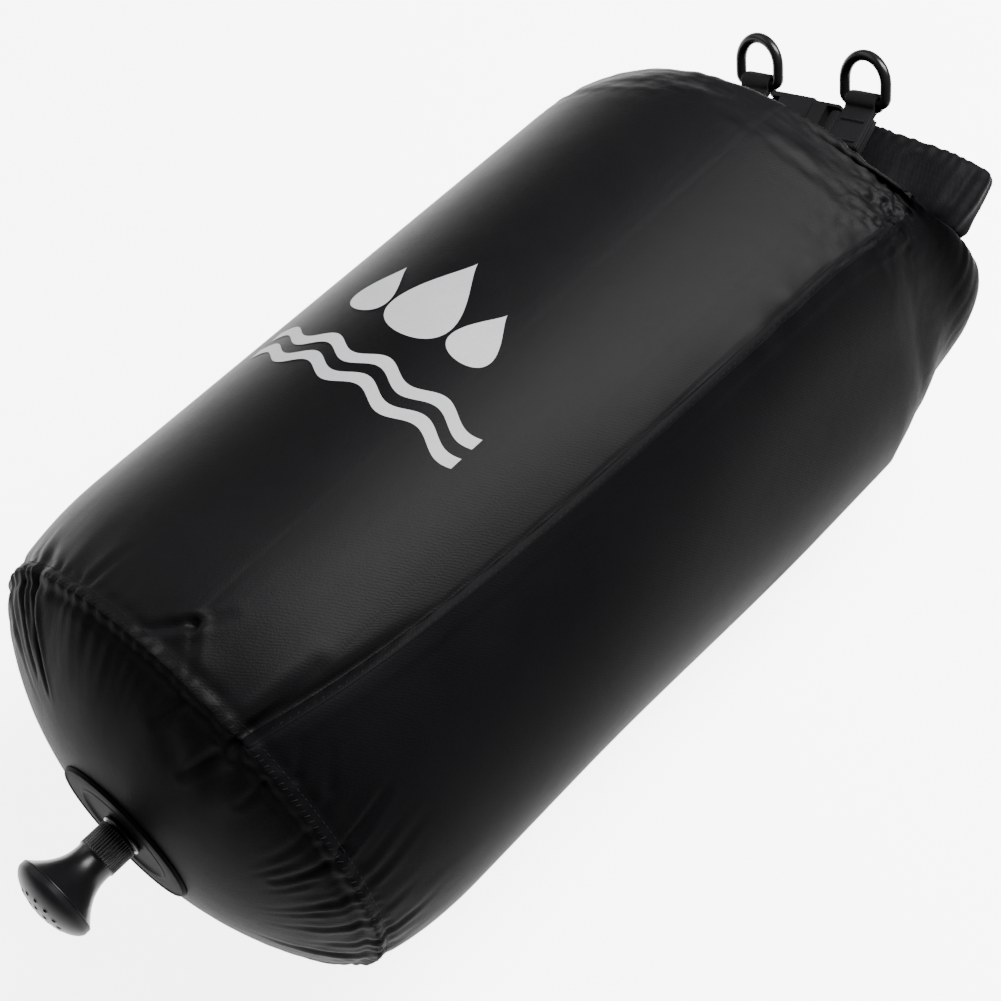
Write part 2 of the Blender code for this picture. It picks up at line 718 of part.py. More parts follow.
def buckle_plug(buckle):
    half_width, half_depth = PLUG_WIDTH / 2, BUCKLE_THICKNESS / 2
    far = 0.03
    part = eased_box(
        "buckle_plug",
        (-BUCKLE_HALF_LENGTH, -half_depth, -half_width),
        (TONGUE_END_X, half_depth, half_width),
        0.0011,
        BLACK_PLASTIC,
        0.5,
        buckle,
    )
    wide, deep = TONGUE_HALF_WIDTH, TONGUE_HALF_DEPTH
    cut_box(part, "tongue_over", (PLUG_FACE_X, deep, -far), (far, far, far), buckle)
    cut_box(part, "tongue_under", (PLUG_FACE_X, -far, -far), (far, -deep, far), buckle)
    cut_box(part, "tongue_above", (PLUG_FACE_X, -far, wide), (far, far, far), buckle)
    cut_box(part, "tongue_below", (PLUG_FACE_X, -far, -far), (far, far, -wide), buckle)
    root = PRONG_HALF_DEPTH + GAP
    for side, name in ((1, "notch_upper"), (-1, "notch_lower")):
        inner, outer = sorted((side * NOTCH_INNER, side * far))
        cut_box(part, name, (PRONG_ROOT_X - GAP, -root, inner), (far, root, outer), buckle)
    slot = WEBBING_WIDTH / 2 + 0.0006
    cut_box(part, "plug_slot", (-SLOT_X[1], -far, -slot), (-SLOT_X[0], far, slot), buckle)
    edge = -SLOT_X[1] + 0.0001
    cut_box(part, "plug_bar_under", (-far, -far, -slot), (edge, -BAR_HALF, slot), buckle)
    cut_box(part, "plug_bar_over", (-far, BAR_HALF, -slot), (edge, far, slot), buckle)
    cut_box(part, "plug_bar_end", (-far, -far, -slot), (-SLOT_X[1] - 2 * BAR_HALF, far, slot), buckle)


def prongs(buckle):
    """Two springy arms whose barbs stand in the socket's side windows."""
    pivot_x, pivot_z = PRONG_PIVOT
    outline = [
        (PRONG_ROOT_X, PRONG_INNER),
        (PRONG_TIP_X - 0.0008, PRONG_INNER),
        (PRONG_TIP_X, PRONG_INNER + 0.0008),
        (PRONG_TIP_X, PRONG_OUTER),
        (PRONG_TIP_X - 0.0024, BARB_OUTER - 0.0004),
        (PRONG_TIP_X - 0.0036, BARB_OUTER),
        (BARB_X + 0.0004, BARB_OUTER),
        (BARB_X, BARB_OUTER - 0.0004),
        (BARB_X, PRONG_OUTER),
        (PRONG_ROOT_X, PRONG_OUTER),
    ]
    for side, name in ((1, "prong_upper"), (-1, "prong_lower")):
        placed = [(x - pivot_x, side * (z - pivot_z)) for x, z in outline]
        mesh = flat_mesh(name, [placed], PRONG_HALF_DEPTH)
        mesh.transform(Matrix.Rotation(math.pi / 2, 4, "X"))
        part = add_part(name, mesh, BLACK_PLASTIC, 0.5, buckle)
        part.location = (pivot_x, 0.0, side * pivot_z)


def main():
    seam_centre = Matrix.Translation((SEAM_X, 0.0, AXIS_Z))
    shower = add_empty("shower_axis", seam_centre @ Matrix.Rotation(-math.pi / 2, 4, "Y"))
    closure = add_empty("closure_frame", closure_matrix())
    buckle = add_empty("buckle_frame", Matrix.Identity(4))
    buckle.parent = closure
    buckle.location = (CLASP_X, BUCKLE_Y, BUCKLE_Z)
    bag_body()
    side_seam_tape()
    base_panel(shower)
    base_seam_tape(shower)
    outlet_patch(shower)
    spigot(shower)
    flange_gasket(shower)
    clamp_nut(shower)
    o_ring(shower)
    shower_head(shower)
    rose_plate(shower)
    valve_parts(shower)
    throat(closure)
    rolled_mouth(closure)
    buckle_webbing(closure)
    ring_webbing(closure)
    d_rings(closure)
    buckle_socket(buckle)
    buckle_plug(buckle)
    prongs(buckle)


clear_scene()
PARTS = new_collection("pocket_shower")
CUTTERS = new_collection("cutters")
main()
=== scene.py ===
"""Looks of the roll-top pocket shower: a filled black dry bag on its side, mouth rolled and buckled."""
import math

import bmesh
import bpy
import numpy as np
from mathutils import Matrix, Vector


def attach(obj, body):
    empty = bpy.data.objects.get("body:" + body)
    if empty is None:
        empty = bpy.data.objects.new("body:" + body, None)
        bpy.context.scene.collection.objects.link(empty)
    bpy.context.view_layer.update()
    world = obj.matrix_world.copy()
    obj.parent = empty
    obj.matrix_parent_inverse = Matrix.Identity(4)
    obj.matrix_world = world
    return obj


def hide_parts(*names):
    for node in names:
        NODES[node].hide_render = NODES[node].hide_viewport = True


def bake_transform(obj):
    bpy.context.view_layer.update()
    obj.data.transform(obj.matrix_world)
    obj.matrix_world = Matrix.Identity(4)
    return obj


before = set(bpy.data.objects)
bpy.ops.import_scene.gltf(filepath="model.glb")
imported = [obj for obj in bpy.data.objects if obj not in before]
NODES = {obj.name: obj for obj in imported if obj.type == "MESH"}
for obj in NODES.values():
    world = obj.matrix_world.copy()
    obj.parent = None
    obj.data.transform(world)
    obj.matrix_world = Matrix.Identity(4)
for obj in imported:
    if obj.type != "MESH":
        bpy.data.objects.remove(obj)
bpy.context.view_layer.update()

# ---- sizes shared with the CAD part, in metres ----
SEAM_X = -0.150
AXIS_Z = 0.089
BAG_RADIUS = 0.093
SEAM_RADIUS = 0.0865
SWELL_LENGTH = 0.045
SHOULDER_X = SEAM_X + 0.266
SHOULDER_SKEW = 0.009
DOME_HEIGHT = 0.0305
DOME_POWER = (2.1, 0.8)
DOME_FLAT_RADIUS = 0.0165
DIMPLE = 0.0015
DIMPLE_EDGE = 0.0110
FLAT_ANGLE = math.radians(22.0)
CLOSURE_TILT = math.radians(28.0)
CLOSURE_SWING = math.radians(6.0)
CLOSURE_CENTRE = Vector((SEAM_X + 0.330, -0.015, AXIS_Z + 0.029))
THROAT_DROP = 0.0145
THROAT_HALF_WIDTH = 0.061
THROAT_HALF_DEPTH = 0.022
THROAT_CENTRE_Y = 0.006
CLASP_X = 0.0030
ARM_END = (0.0225, 0.0240)
BACK_POINTS = [(0.0, -0.0120), (0.030, -0.0105), (0.050, -0.0055)]
FOLD_POINTS = [(0.0590, -0.0022), (0.0632, 0.0035), (0.0592, 0.0092)]
ARM_POINTS = [(0.0460, 0.0150), (0.0345, 0.0208)]
ROLL_HEIGHT = 0.026
ROLL_THICKNESS = 0.008
WEBBING = 0.0013
WEBBING_WIDTH = 0.014
RING_WIRE = 0.0020
RING_HALF_WIDTH = 0.0097
RING_HEIGHT = 0.0168
RING_BAR_X = 0.0264
RING_BAR_Z = 0.0175
RING_LEAN = math.radians(42.0)
BUCKLE_Y = 0.0298
BUCKLE_Z = 0.0052
BAR_X = 0.0157
RING_Y = BUCKLE_Y + 2 * WEBBING + 0.0003

# ---- skin resolution ----
AROUND = 240
DOME_ROWS = 30
TUBE_ROWS = 104
SHOULDER_ROWS = 40
TOP_ANGLE = math.radians(112.0)

rng = np.random.default_rng(11)


# ---------------------------------------------------------------- small helpers
def link(obj):
    bpy.context.scene.collection.objects.link(obj)
    return obj


def smoothstep(low, high, value):
    t = np.clip((value - low) / (high - low), 0.0, 1.0)
    return t * t * (3 - 2 * t)


def bump(value, centre, width):
    return np.exp(-(((value - centre) / width) ** 2))


def closure_matrix():
    """The rolled mouth's frame: x to the left end of the roll, y to its buckled front, z outwards."""
    left = Vector((0.0, math.cos(FLAT_ANGLE), -math.sin(FLAT_ANGLE)))
    front = Vector((0.0, math.sin(FLAT_ANGLE), math.cos(FLAT_ANGLE)))
    out = Vector((1.0, 0.0, 0.0))
    tilted_out = out * math.cos(CLOSURE_TILT) + front * math.sin(CLOSURE_TILT)
    tilted_front = front * math.cos(CLOSURE_TILT) - out * math.sin(CLOSURE_TILT)
    swung_left = left * math.cos(CLOSURE_SWING) - tilted_front * math.sin(CLOSURE_SWING)
    swung_front = tilted_front * math.cos(CLOSURE_SWING) + left * math.sin(CLOSURE_SWING)
    rows = Matrix((swung_left, swung_front, tilted_out)).transposed()
    return Matrix.Translation(CLOSURE_CENTRE) @ rows.to_4x4()


CLOSURE = closure_matrix()
CLOSURE_ROT = np.array(CLOSURE.to_3x3())
CLOSURE_AT = np.array(CLOSURE.translation)


def to_world(points):
    """Closure coordinates to world ones, for an array whose last axis is x, y, z."""
    return np.asarray(points) @ CLOSURE_ROT.T + CLOSURE_AT


def wave_noise(u, v, seed, scale, octaves=3):
    """A smooth, seeded sum of tilted waves; u and v in metres, scale the coarsest wavelength."""
    source = np.random.default_rng(seed)
    total = np.zeros(np.broadcast(u, v).shape)
    weight, amount = 0.0, 1.0
    for octave in range(octaves):
        for _ in range(5):
            turn = source.uniform(0, math.tau)
            wavelength = scale / 2 ** octave * source.uniform(0.75, 1.35)
            phase = source.uniform(0, math.tau)
            across = u * math.cos(turn) + v * math.sin(turn)
            total += amount * np.sin(across * math.tau / wavelength + phase)
            weight += amount
        amount *= 0.5
    return total / weight * 2.2


def grid_normals(grid, closed):
    """Normals of a (rows, columns, 3) grid, out of the surface for rows that run along the bag."""
    along = np.gradient(grid, axis=0)
    if closed:
        around = (np.roll(grid, -1, axis=1) - np.roll(grid, 1, axis=1)) / 2
    else:
        around = np.gradient(grid, axis=1)
    normals = np.cross(around, along)
    return normals / np.maximum(np.linalg.norm(normals, axis=2, keepdims=True), 1e-12)


def grid_object(name, grid, uv=None, closed=True, ends=(False, False)):
    """A quad mesh over a grid, with a UV layer in metres and optional end caps."""
    rows, columns = grid.shape[:2]
    index = np.arange(rows * columns).reshape(rows, columns)
    last = columns if closed else columns - 1
    here = np.arange(last)
    after = (here + 1) % columns
    lower_row, upper_row = index[:-1], index[1:]
    quads = np.stack([lower_row[:, here], lower_row[:, after], upper_row[:, after], upper_row[:, here]], -1)
    quads = quads.reshape(-1)
    mesh = bpy.data.meshes.new(name)
    mesh.vertices.add(rows * columns)
    mesh.vertices.foreach_set("co", grid.reshape(-1).astype(np.float32))
    caps = [cap for cap, wanted in zip((index[0][::-1], index[-1]), ends) if wanted]
    loops = np.concatenate([quads] + caps)
    starts = list(range(0, len(quads), 4)) + [len(quads) + k * columns for k in range(len(caps))]
    mesh.loops.add(len(loops))
    mesh.loops.foreach_set("vertex_index", loops.astype(np.int32))
    mesh.polygons.add(len(starts))
    mesh.polygons.foreach_set("loop_start", np.array(starts, np.int32))
    mesh.update(calc_edges=True)
    if uv is not None:
        full_turn = (uv[:, -1:] - uv[:, :1]) * columns / max(columns - 1, 1)
        wrap = np.concatenate([uv, uv[:, :1] + full_turn], axis=1)
        row_of = np.arange(rows - 1)[:, None, None] + np.array([0, 0, 1, 1])
        column_of = np.stack([here, here + 1, here + 1, here], -1)
        flat = wrap[row_of, column_of].reshape(-1, 2)
        flat = np.concatenate([flat, np.zeros((len(loops) - len(flat), 2))])
        layer = mesh.uv_layers.new(name="metres")
        layer.data.foreach_set("uv", flat.reshape(-1).astype(np.float32))
    mesh.shade_smooth()
    mesh.validate()
    return link(bpy.data.objects.new(name, mesh))


def refine(grid, closed):
    """Doubles a grid's resolution both ways with a four-point curve through its points."""
    def one_way(rows, wraps):
        if wraps:
            padded = np.concatenate([rows[-1:], rows, rows[:2]])
        else:
            first, last = 2 * rows[:1] - rows[1:2], 2 * rows[-1:] - rows[-2:-1]
            padded = np.concatenate([first, rows, last])
        middle = (9 * (padded[1:-2] + padded[2:-1]) - padded[:-3] - padded[3:]) / 16
        out = np.empty((len(rows) + len(middle),) + rows.shape[1:])
        out[0::2], out[1::2] = rows, middle
        return out

    grid = one_way(grid, False)
    return one_way(grid.swapaxes(0, 1), closed).swapaxes(0, 1)


# ---------------------------------------------------------------- materials
class Nodes:
    """A short way to write a node tree."""

    def __init__(self, name):
        self.material = bpy.data.materials.new(name)
        self.material.use_nodes = True
        self.tree = self.material.node_tree
        self.shader = self.tree.nodes["Principled BSDF"]

    def add(self, kind, **settings):
        node = self.tree.nodes.new(kind)
        for key, value in settings.items():
            setattr(node, key, value)
        return node

    def join(self, output, target):
        self.tree.links.new(output, target)

    def mixed(self, first, share_first, second, share_second):
        """A weighted sum of two outputs."""
        return self.math("ADD", self.math("MULTIPLY", first, share_first),
                         self.math("MULTIPLY", second, share_second))

    def math(self, operation, first, second):
        node = self.add("ShaderNodeMath", operation=operation)
        for socket, value in zip(node.inputs, (first, second)):
            if isinstance(value, (int, float)):
                socket.default_value = value
            else:
                self.join(value, socket)
        return node.outputs[0]

    def coordinates(self, kind="UV", scale=(1, 1, 1), rotation=(0, 0, 0)):
        source = self.add("ShaderNodeTexCoord").outputs[kind]
        mapping = self.add("ShaderNodeMapping")
        mapping.inputs["Scale"].default_value = scale
        mapping.inputs["Rotation"].default_value = rotation
        self.join(source, mapping.inputs["Vector"])
        return mapping.outputs[0]

    def noise(self, vector, scale, detail=3.0, roughness=0.55):
        node = self.add("ShaderNodeTexNoise")
        node.inputs["Scale"].default_value = scale
        node.inputs["Detail"].default_value = detail
        node.inputs["Roughness"].default_value = roughness
        self.join(vector, node.inputs["Vector"])
        return node.outputs["Fac"]

    def waves(self, vector, scale, direction="X", distortion=0.0):
        node = self.add("ShaderNodeTexWave", wave_type="BANDS", bands_direction=direction)
        node.inputs["Scale"].default_value = scale
        node.inputs["Distortion"].default_value = distortion
        node.inputs["Detail"].default_value = 1.0
        node.inputs["Detail Scale"].default_value = 2.0
        self.join(vector, node.inputs["Vector"])
        return node.outputs["Fac"]

    def ramp(self, value, stops):
        node = self.add("ShaderNodeValToRGB")
        elements = node.color_ramp.elements
        while len(elements) < len(stops):
            elements.new(0.5)
        for element, (place, colour) in zip(elements, stops):
            element.position = place
            element.color = (*colour, 1.0)
        self.join(value, node.inputs["Fac"])
        return node.outputs["Color"]

    def spread(self, value, low, high):
        node = self.add("ShaderNodeMapRange")
        node.inputs["To Min"].default_value = low
        node.inputs["To Max"].default_value = high
        self.join(value, node.inputs["Value"])
        return node.outputs["Result"]

    def relief(self, height, strength, distance, normal=None):
        node = self.add("ShaderNodeBump")
        node.inputs["Strength"].default_value = strength
        node.inputs["Distance"].default_value = distance
        self.join(height, node.inputs["Height"])
        if normal is not None:
            self.join(normal, node.inputs["Normal"])
        return node.outputs["Normal"]

    def finish(self, colour=None, roughness=None, normal=None, **plain):
        for output, name in ((colour, "Base Color"), (roughness, "Roughness"), (normal, "Normal")):
            if output is not None:
                self.join(output, self.shader.inputs[name])
        for name, value in plain.items():
            self.shader.inputs[name.replace("_", " ")].default_value = value
        return self.material


WAVE_SPAN = 3.1831  # a wave texture at scale 1 repeats every 1 / 3.1831 metres
THREAD_PITCH = 0.00055


def black(level):
    """A near-black with a trace of blue."""
    return level, level, round(level * 1.1, 4)


def fabric_material(name, dark, light, specular, roughness=(0.52, 0.62), kind="UV"):
    """Coated twill: a fine diagonal over a plain weave, with cloudy wear."""
    n = Nodes(name)
    place = n.coordinates(kind)
    diagonal = n.coordinates(kind, rotation=(0, 0, math.radians(52)))
    per_thread = 1.0 / THREAD_PITCH / WAVE_SPAN
    warp = n.waves(place, per_thread, "X", 0.6)
    weft = n.waves(place, per_thread, "Y", 0.6)
    twill = n.waves(diagonal, per_thread * 0.55, "X", 0.8)
    weave = n.math("MULTIPLY", warp, weft)
    weave = n.math("MULTIPLY", n.math("ADD", weave, n.math("MULTIPLY", twill, 0.8)), 0.45)
    grain = n.noise(place, 1250.0, 3.0, 0.7)
    cloud = n.noise(place, 22.0, 4.0)
    weave = n.math("ADD", weave, n.math("MULTIPLY", grain, 2.4))
    tone = n.mixed(cloud, 0.45, weave, 0.2)
    colour = n.ramp(tone, [(0.25, dark), (0.75, light)])
    rough = n.spread(cloud, *roughness)
    soft = n.relief(n.noise(place, 70.0, 3.0), 0.12, 0.0012)
    normal = n.relief(weave, 0.35, 0.00012, soft)
    return n.finish(colour, rough, normal, Specular_IOR_Level=specular)


def plastic_material(name, colour, roughness, grain=900.0, depth=0.00002, level=0.35):
    """Moulded plastic: fine texture, a little flow variation and rubbed high spots."""
    n = Nodes(name)
    place = n.coordinates("Object")
    fine = n.noise(place, grain, 2.0)
    flow = n.noise(place, 60.0, 4.0)
    scuff = n.noise(n.coordinates("Object", scale=(1.0, 3.0, 0.4)), 260.0, 5.0, 0.7)
    lighter = tuple(c * 1.6 for c in colour)
    shade = n.ramp(n.mixed(flow, 0.6, scuff, 0.4), [(0.35, colour), (0.8, lighter)])
    rough = n.spread(n.mixed(flow, 0.5, scuff, 0.5), roughness - 0.07, roughness + 0.10)
    normal = n.relief(fine, 0.25, depth)
    return n.finish(shade, rough, normal, Specular_IOR_Level=level)


def webbing_material(name, dark, light, lane=0.0023, thread=0.00075):
    """Woven strap: a herringbone of thick threads, from strap coordinates in metres."""
    n = Nodes(name)
    place = n.coordinates("UV")
    left = n.coordinates("UV", rotation=(0, 0, math.radians(38)))
    right = n.coordinates("UV", rotation=(0, 0, math.radians(-38)))
    lanes = n.waves(place, 1 / lane / WAVE_SPAN, "Y")
    one = n.waves(left, 1 / thread / WAVE_SPAN, "X", 0.4)
    other = n.waves(right, 1 / thread / WAVE_SPAN, "X", 0.4)
    which = n.math("GREATER_THAN", lanes, 0.5)
    chosen = n.mixed(one, which, other, n.math("SUBTRACT", 1.0, which))
    fuzz = n.noise(place, 2400.0, 2.0)
    height = n.math("ADD", chosen, n.math("MULTIPLY", fuzz, 0.5))
    colour = n.ramp(height, [(0.15, dark), (1.0, light)])
    normal = n.relief(height, 0.5, 0.00014)
    rough = n.spread(fuzz, 0.62, 0.80)
    return n.finish(colour, rough, normal, Sheen_Weight=0.006, Sheen_Roughness=0.5, Specular_IOR_Level=0.03)


def rubber_material(name, colour):
    """Dull rubber or thread, with a little dust in its tone."""
    n = Nodes(name)
    place = n.coordinates("Object")
    dust = n.noise(place, 400.0, 4.0)
    shade = n.ramp(dust, [(0.3, colour), (0.8, tuple(c * 1.8 for c in colour))])
    rough, normal = n.spread(dust, 0.6, 0.8), n.relief(dust, 0.2, 0.00003)
    return n.finish(shade, rough, normal, Specular_IOR_Level=0.05)


def print_material(name, dark, light):
    """Screen print: pale ink, a little speckled and worn."""
    n = Nodes(name)
    place = n.coordinates("Object")
    speck = n.noise(place, 1300.0, 3.0)
    fade = n.noise(place, 30.0, 3.0)
    shade = n.ramp(n.mixed(speck, 0.4, fade, 0.6), [(0.3, dark), (0.7, light)])
    rough, normal = n.spread(speck, 0.45, 0.6), n.relief(speck, 0.3, 0.00003)
    return n.finish(shade, rough, normal, Specular_IOR_Level=0.05)


# these levels suit the strong studio light below and are darker than real nylon
SHELL = fabric_material("shell_fabric", black(0.0010), black(0.0022), 0.022, (0.42, 0.52))
# painted shade: a darker, less glossy copy of the shell cloth, for the side below the long seam
SHADED_SIDE_CLOTH = fabric_material("side_fabric_painted_shade", black(0.0008), black(0.0018), 0.006, (0.44, 0.54))
LAP_CLOTH = fabric_material("lap_fabric", black(0.0008), black(0.0018), 0.014, kind="Object")
BASE_CLOTH = fabric_material("base_fabric", black(0.0009), black(0.0020), 0.006, (0.42, 0.52))
ROLL_CLOTH = fabric_material("roll_fabric", black(0.0012), black(0.0026), 0.010, (0.45, 0.55))
TAPE = fabric_material("tape_fabric", black(0.0012), (0.0026, 0.0026, 0.0028), 0.022, kind="Object")
STRAP = webbing_material("strap_weave", black(0.0018), black(0.0042))
THREAD = rubber_material("thread", black(0.0018))
RING_BLACK = plastic_material("ring_black", black(0.0022), 0.24, 500.0, 0.00001, 0.10)
BUCKLE_BLACK = plastic_material("buckle_black", black(0.0024), 0.44, 1400.0, 0.00004, 0.04)
SHOWER_BLACK = plastic_material("shower_black", black(0.0022), 0.30, 700.0, 0.000012, 0.12)
ROSE_BLACK = plastic_material("rose_black", black(0.0030), 0.34, 700.0, 0.000012, 0.035)
PATCH_BLACK = plastic_material("patch_black", black(0.0014), 0.50, 240.0, 0.00004, 0.003)
RIM_BLACK = plastic_material("rim_black", black(0.0022), 0.20, 500.0, 0.00001, 0.30)
STIFF_BLACK = plastic_material("stiffener_black", (0.003, 0.003, 0.003), 0.6)
SEAL_BLACK = rubber_material("seal_black", (0.003, 0.003, 0.003))
PRINT_WHITE = print_material("print_white", (0.120, 0.122, 0.125), (0.160, 0.162, 0.165))


def dress(obj, material):
    obj.data.materials.clear()
    obj.data.materials.append(material)
    return obj


# ---------------------------------------------------------------- the bag's skin
def bag_radius(x):
    reach = np.clip((x - SEAM_X) / SWELL_LENGTH, 0.0, 1.0)
    return SEAM_RADIUS + (BAG_RADIUS - SEAM_RADIUS) * (1.0 - (1.0 - reach) ** 2.4)


def dome_height(radius):
    reach = np.minimum(np.maximum(radius, DOME_FLAT_RADIUS) / SEAM_RADIUS, 1.0)
    beyond = np.maximum(radius - DOME_FLAT_RADIUS, 0.0) / DIMPLE_EDGE
    drawn_in = DIMPLE * np.maximum(1.0 - beyond, 0.0) ** 2
    return DOME_HEIGHT * (1.0 - reach ** DOME_POWER[0]) ** DOME_POWER[1] - drawn_in


def dome_radii(count):
    """Radii from the outlet to the seam, closer together where the dome turns down."""
    share = np.linspace(0.0, 1.0, count)
    return 0.0062 + (SEAM_RADIUS - 0.0062) * np.sin(share * math.pi / 2) ** 0.9


def skin_grid():
    """The skin as a (rows, AROUND, 3) grid: the base dome, the tube and the shoulder to the throat."""
    turn = math.tau * np.arange(AROUND) / AROUND
    phi = turn - TOP_ANGLE
    rows = []
    for radius in dome_radii(DOME_ROWS)[:-1]:
        height = float(dome_height(radius))
        rows.append(np.stack([
            np.full(AROUND, SEAM_X - height), -radius * np.sin(phi), AXIS_Z + radius * np.cos(phi)], -1))
    left = np.array((0.0, math.cos(FLAT_ANGLE), -math.sin(FLAT_ANGLE)))
    front = np.array((0.0, math.sin(FLAT_ANGLE), math.cos(FLAT_ANGLE)))
    cosine, sine = np.cos(turn)[:, None], np.sin(turn)[:, None]
    for share in np.linspace(0.0, 1.0, TUBE_ROWS):
        x = SEAM_X + (SHOULDER_X - SEAM_X) * share
        radius = float(bag_radius(x))
        ring = np.array((x, 0.0, AXIS_Z)) + left * radius * cosine + front * radius * sine
        ring[:, 0] -= SHOULDER_SKEW * share ** 4 * np.cos(turn)
        ring[:, 2] = np.maximum(ring[:, 2], 0.0004)
        rows.append(ring)
    end_left, end_front = CLOSURE_ROT[:, 0], CLOSURE_ROT[:, 1]
    end_centre = to_world((0.0, THROAT_CENTRE_Y, -THROAT_DROP))
    start_centre = np.array((SHOULDER_X, 0.0, AXIS_Z))
    for k in range(1, SHOULDER_ROWS + 1):
        swing = math.pi / 2 * k / SHOULDER_ROWS
        rise, fall = math.sin(swing), max(math.cos(swing), 0.0)
        width = THROAT_HALF_WIDTH + (BAG_RADIUS - THROAT_HALF_WIDTH) * fall ** 0.75
        depth = THROAT_HALF_DEPTH + (BAG_RADIUS - THROAT_HALF_DEPTH) * fall ** 0.45
        bend = rise ** 4
        across = left + (end_left - left) * bend
        forward = front + (end_front - front) * bend
        across /= np.linalg.norm(across)
        forward /= np.linalg.norm(forward)
        centre = start_centre + (end_centre - start_centre) * bend
        centre[0] = start_centre[0] + (end_centre[0] - start_centre[0]) * rise
        ring = centre + across * width * cosine + forward * depth * sine
        ring[:, 0] -= SHOULDER_SKEW * fall * np.cos(turn)
        ring[:, 2] = np.maximum(ring[:, 2], 0.0004)
        rows.append(ring)
    return np.array(rows)


def grid_shares(rows_total):
    """Each row's part of the skin: below 0 on the dome, 0 to 1 on the tube, 1 to 2 on the shoulder."""
    fine = (rows_total - 1) / (DOME_ROWS + TUBE_ROWS + SHOULDER_ROWS - 2)
    at = np.arange(rows_total) / fine
    dome = (at - (DOME_ROWS - 1)) / (DOME_ROWS - 1)
    tube = (at - (DOME_ROWS - 1)) / (TUBE_ROWS - 1)
    shoulder = 1.0 + (at - (DOME_ROWS - 1) - (TUBE_ROWS - 1)) / SHOULDER_ROWS
    return np.where(at < DOME_ROWS - 1, dome, np.where(tube <= 1.0, tube, shoulder))


CLOTH = {
    "quality": 5, "mass": 0.12, "tension_stiffness": 60, "compression_stiffness": 60,
    "shear_stiffness": 18, "bending_stiffness": 0.25, "tension_damping": 12,
    "compression_damping": 12, "shear_damping": 8, "bending_damping": 0.6, "air_damping": 2.5,
    "use_pressure": True, "uniform_pressure_force": 2.2, "pin_stiffness": 1.0,
    "shrink_min": 0.0, "shrink_max": -0.055,
}
CLOTH_FRAMES = 22
CLOTH_CAP = 0.0045  # the most that the cloth may move a point


def inflate(grid, share):
    """Cloth under pressure: spare fabric near the seams and the shoulder buckles into puckers."""
    rows, columns = grid.shape[:2]
    piece = grid_object("skin_sim", grid)
    count = rows * columns
    near_seam = np.exp(-np.abs(np.where(share < 0, share * 0.085, share * 0.266)) / 0.020)
    near_throat = smoothstep(0.95, 1.35, share)
    spare = np.clip(0.30 + 0.9 * near_seam + 0.9 * near_throat, 0, 1)[:, None] * np.ones((1, columns))
    hold = 0.16 * np.ones((rows, columns))
    hold *= (1.0 - 0.85 * np.clip(near_seam * 1.2 + near_throat, 0, 1))[:, None]
    hold[np.abs(share) < 1e-6] = 1.0
    hold[share <= -0.74] = 1.0
    hold[-1] = 1.0
    resting = np.clip((0.006 - grid[:, :, 2]) / 0.005, 0, 1)
    hold = np.maximum(hold, resting)
    for group_name, values in (("hold", hold), ("spare", spare)):
        group = piece.vertex_groups.new(name=group_name)
        flat = np.round(values.reshape(-1), 2)
        for value in np.unique(flat):
            if value > 0:
                group.add(np.nonzero(flat == value)[0].tolist(), float(value), "REPLACE")
    cloth = piece.modifiers.new("cloth", "CLOTH")
    settings = cloth.settings
    for name, value in CLOTH.items():
        setattr(settings, name, value)
    settings.vertex_group_mass = "hold"
    settings.vertex_group_shrink = "spare"
    settings.effector_weights.gravity = 0.0
    cloth.collision_settings.use_collision = False
    cloth.collision_settings.use_self_collision = False
    scene = bpy.context.scene
    cloth.point_cache.frame_start = 1
    cloth.point_cache.frame_end = CLOTH_FRAMES
    for number in range(1, CLOTH_FRAMES + 1):
        scene.frame_set(number)
    depsgraph = bpy.context.evaluated_depsgraph_get()
    result = piece.evaluated_get(depsgraph).to_mesh()
    moved = np.empty(count * 3)
    result.vertices.foreach_get("co", moved)
    scene.frame_set(1)
    bpy.data.objects.remove(piece, do_unlink=True)
    shift = moved.reshape(rows, columns, 3) - grid
    length = np.linalg.norm(shift, axis=2, keepdims=True)
    shift *= np.minimum(1.0, CLOTH_CAP / np.maximum(length, 1e-9))
    return shift


def side_seam_phi(x):
    """The long seam's angle from the top towards -Y: it winds a little round the bag."""
    along = np.maximum(x - SEAM_X, 0.0)
    winding = 11.4 * (1.0 - np.exp(-along / 0.075)) + 4.0 * smoothstep(0.245, 0.30, along)
    return np.radians(25.7 + winding)


def wrapped(angle):
    return (angle + math.pi) % math.tau - math.pi


def shaped_skin():
    """The skin after the cloth simulation, at twice the grid's resolution."""
    grid = skin_grid()
    share = grid_shares(grid.shape[0])
    shift = inflate(grid, share)
    return refine(grid + shift, True)


def round_bag(angle, degrees):
    """The arc in metres from a line along the bag, given in degrees from the top towards -Y."""
    return wrapped(angle - math.radians(degrees)) * BAG_RADIUS


def base_seam_folds(angle, along, arc):
    """A proud double row with fine puckers that die out on both sides."""
    rise = np.zeros_like(along)
    jitter = wave_noise(arc * 0.0, arc, 5, 0.030, 3)
    fine = np.sin(wrapped(angle) * 95.0 + 2.2 * jitter)
    rise += 0.00060 * bump(along, 0.0008, 0.0016) * (1.0 + 0.35 * fine)
    rise -= 0.00075 * bump(along, -0.0022, 0.0014)
    rise -= 0.00050 * bump(along, 0.0040, 0.0018) * (1.0 + 0.5 * fine)
    reach = np.exp(-np.abs(along) / 0.007)
    rise += 0.00028 * fine * reach * (0.5 + 0.5 * wave_noise(arc * 0.0, arc, 8, 0.060, 2))
    tucks = wave_noise(arc * 1.0, along * 0.25, 21, 0.024, 3)
    rise += 0.00055 * tucks * np.exp(-np.abs(along) / 0.016) * smoothstep(0.0, 0.004, np.abs(along))
    return rise


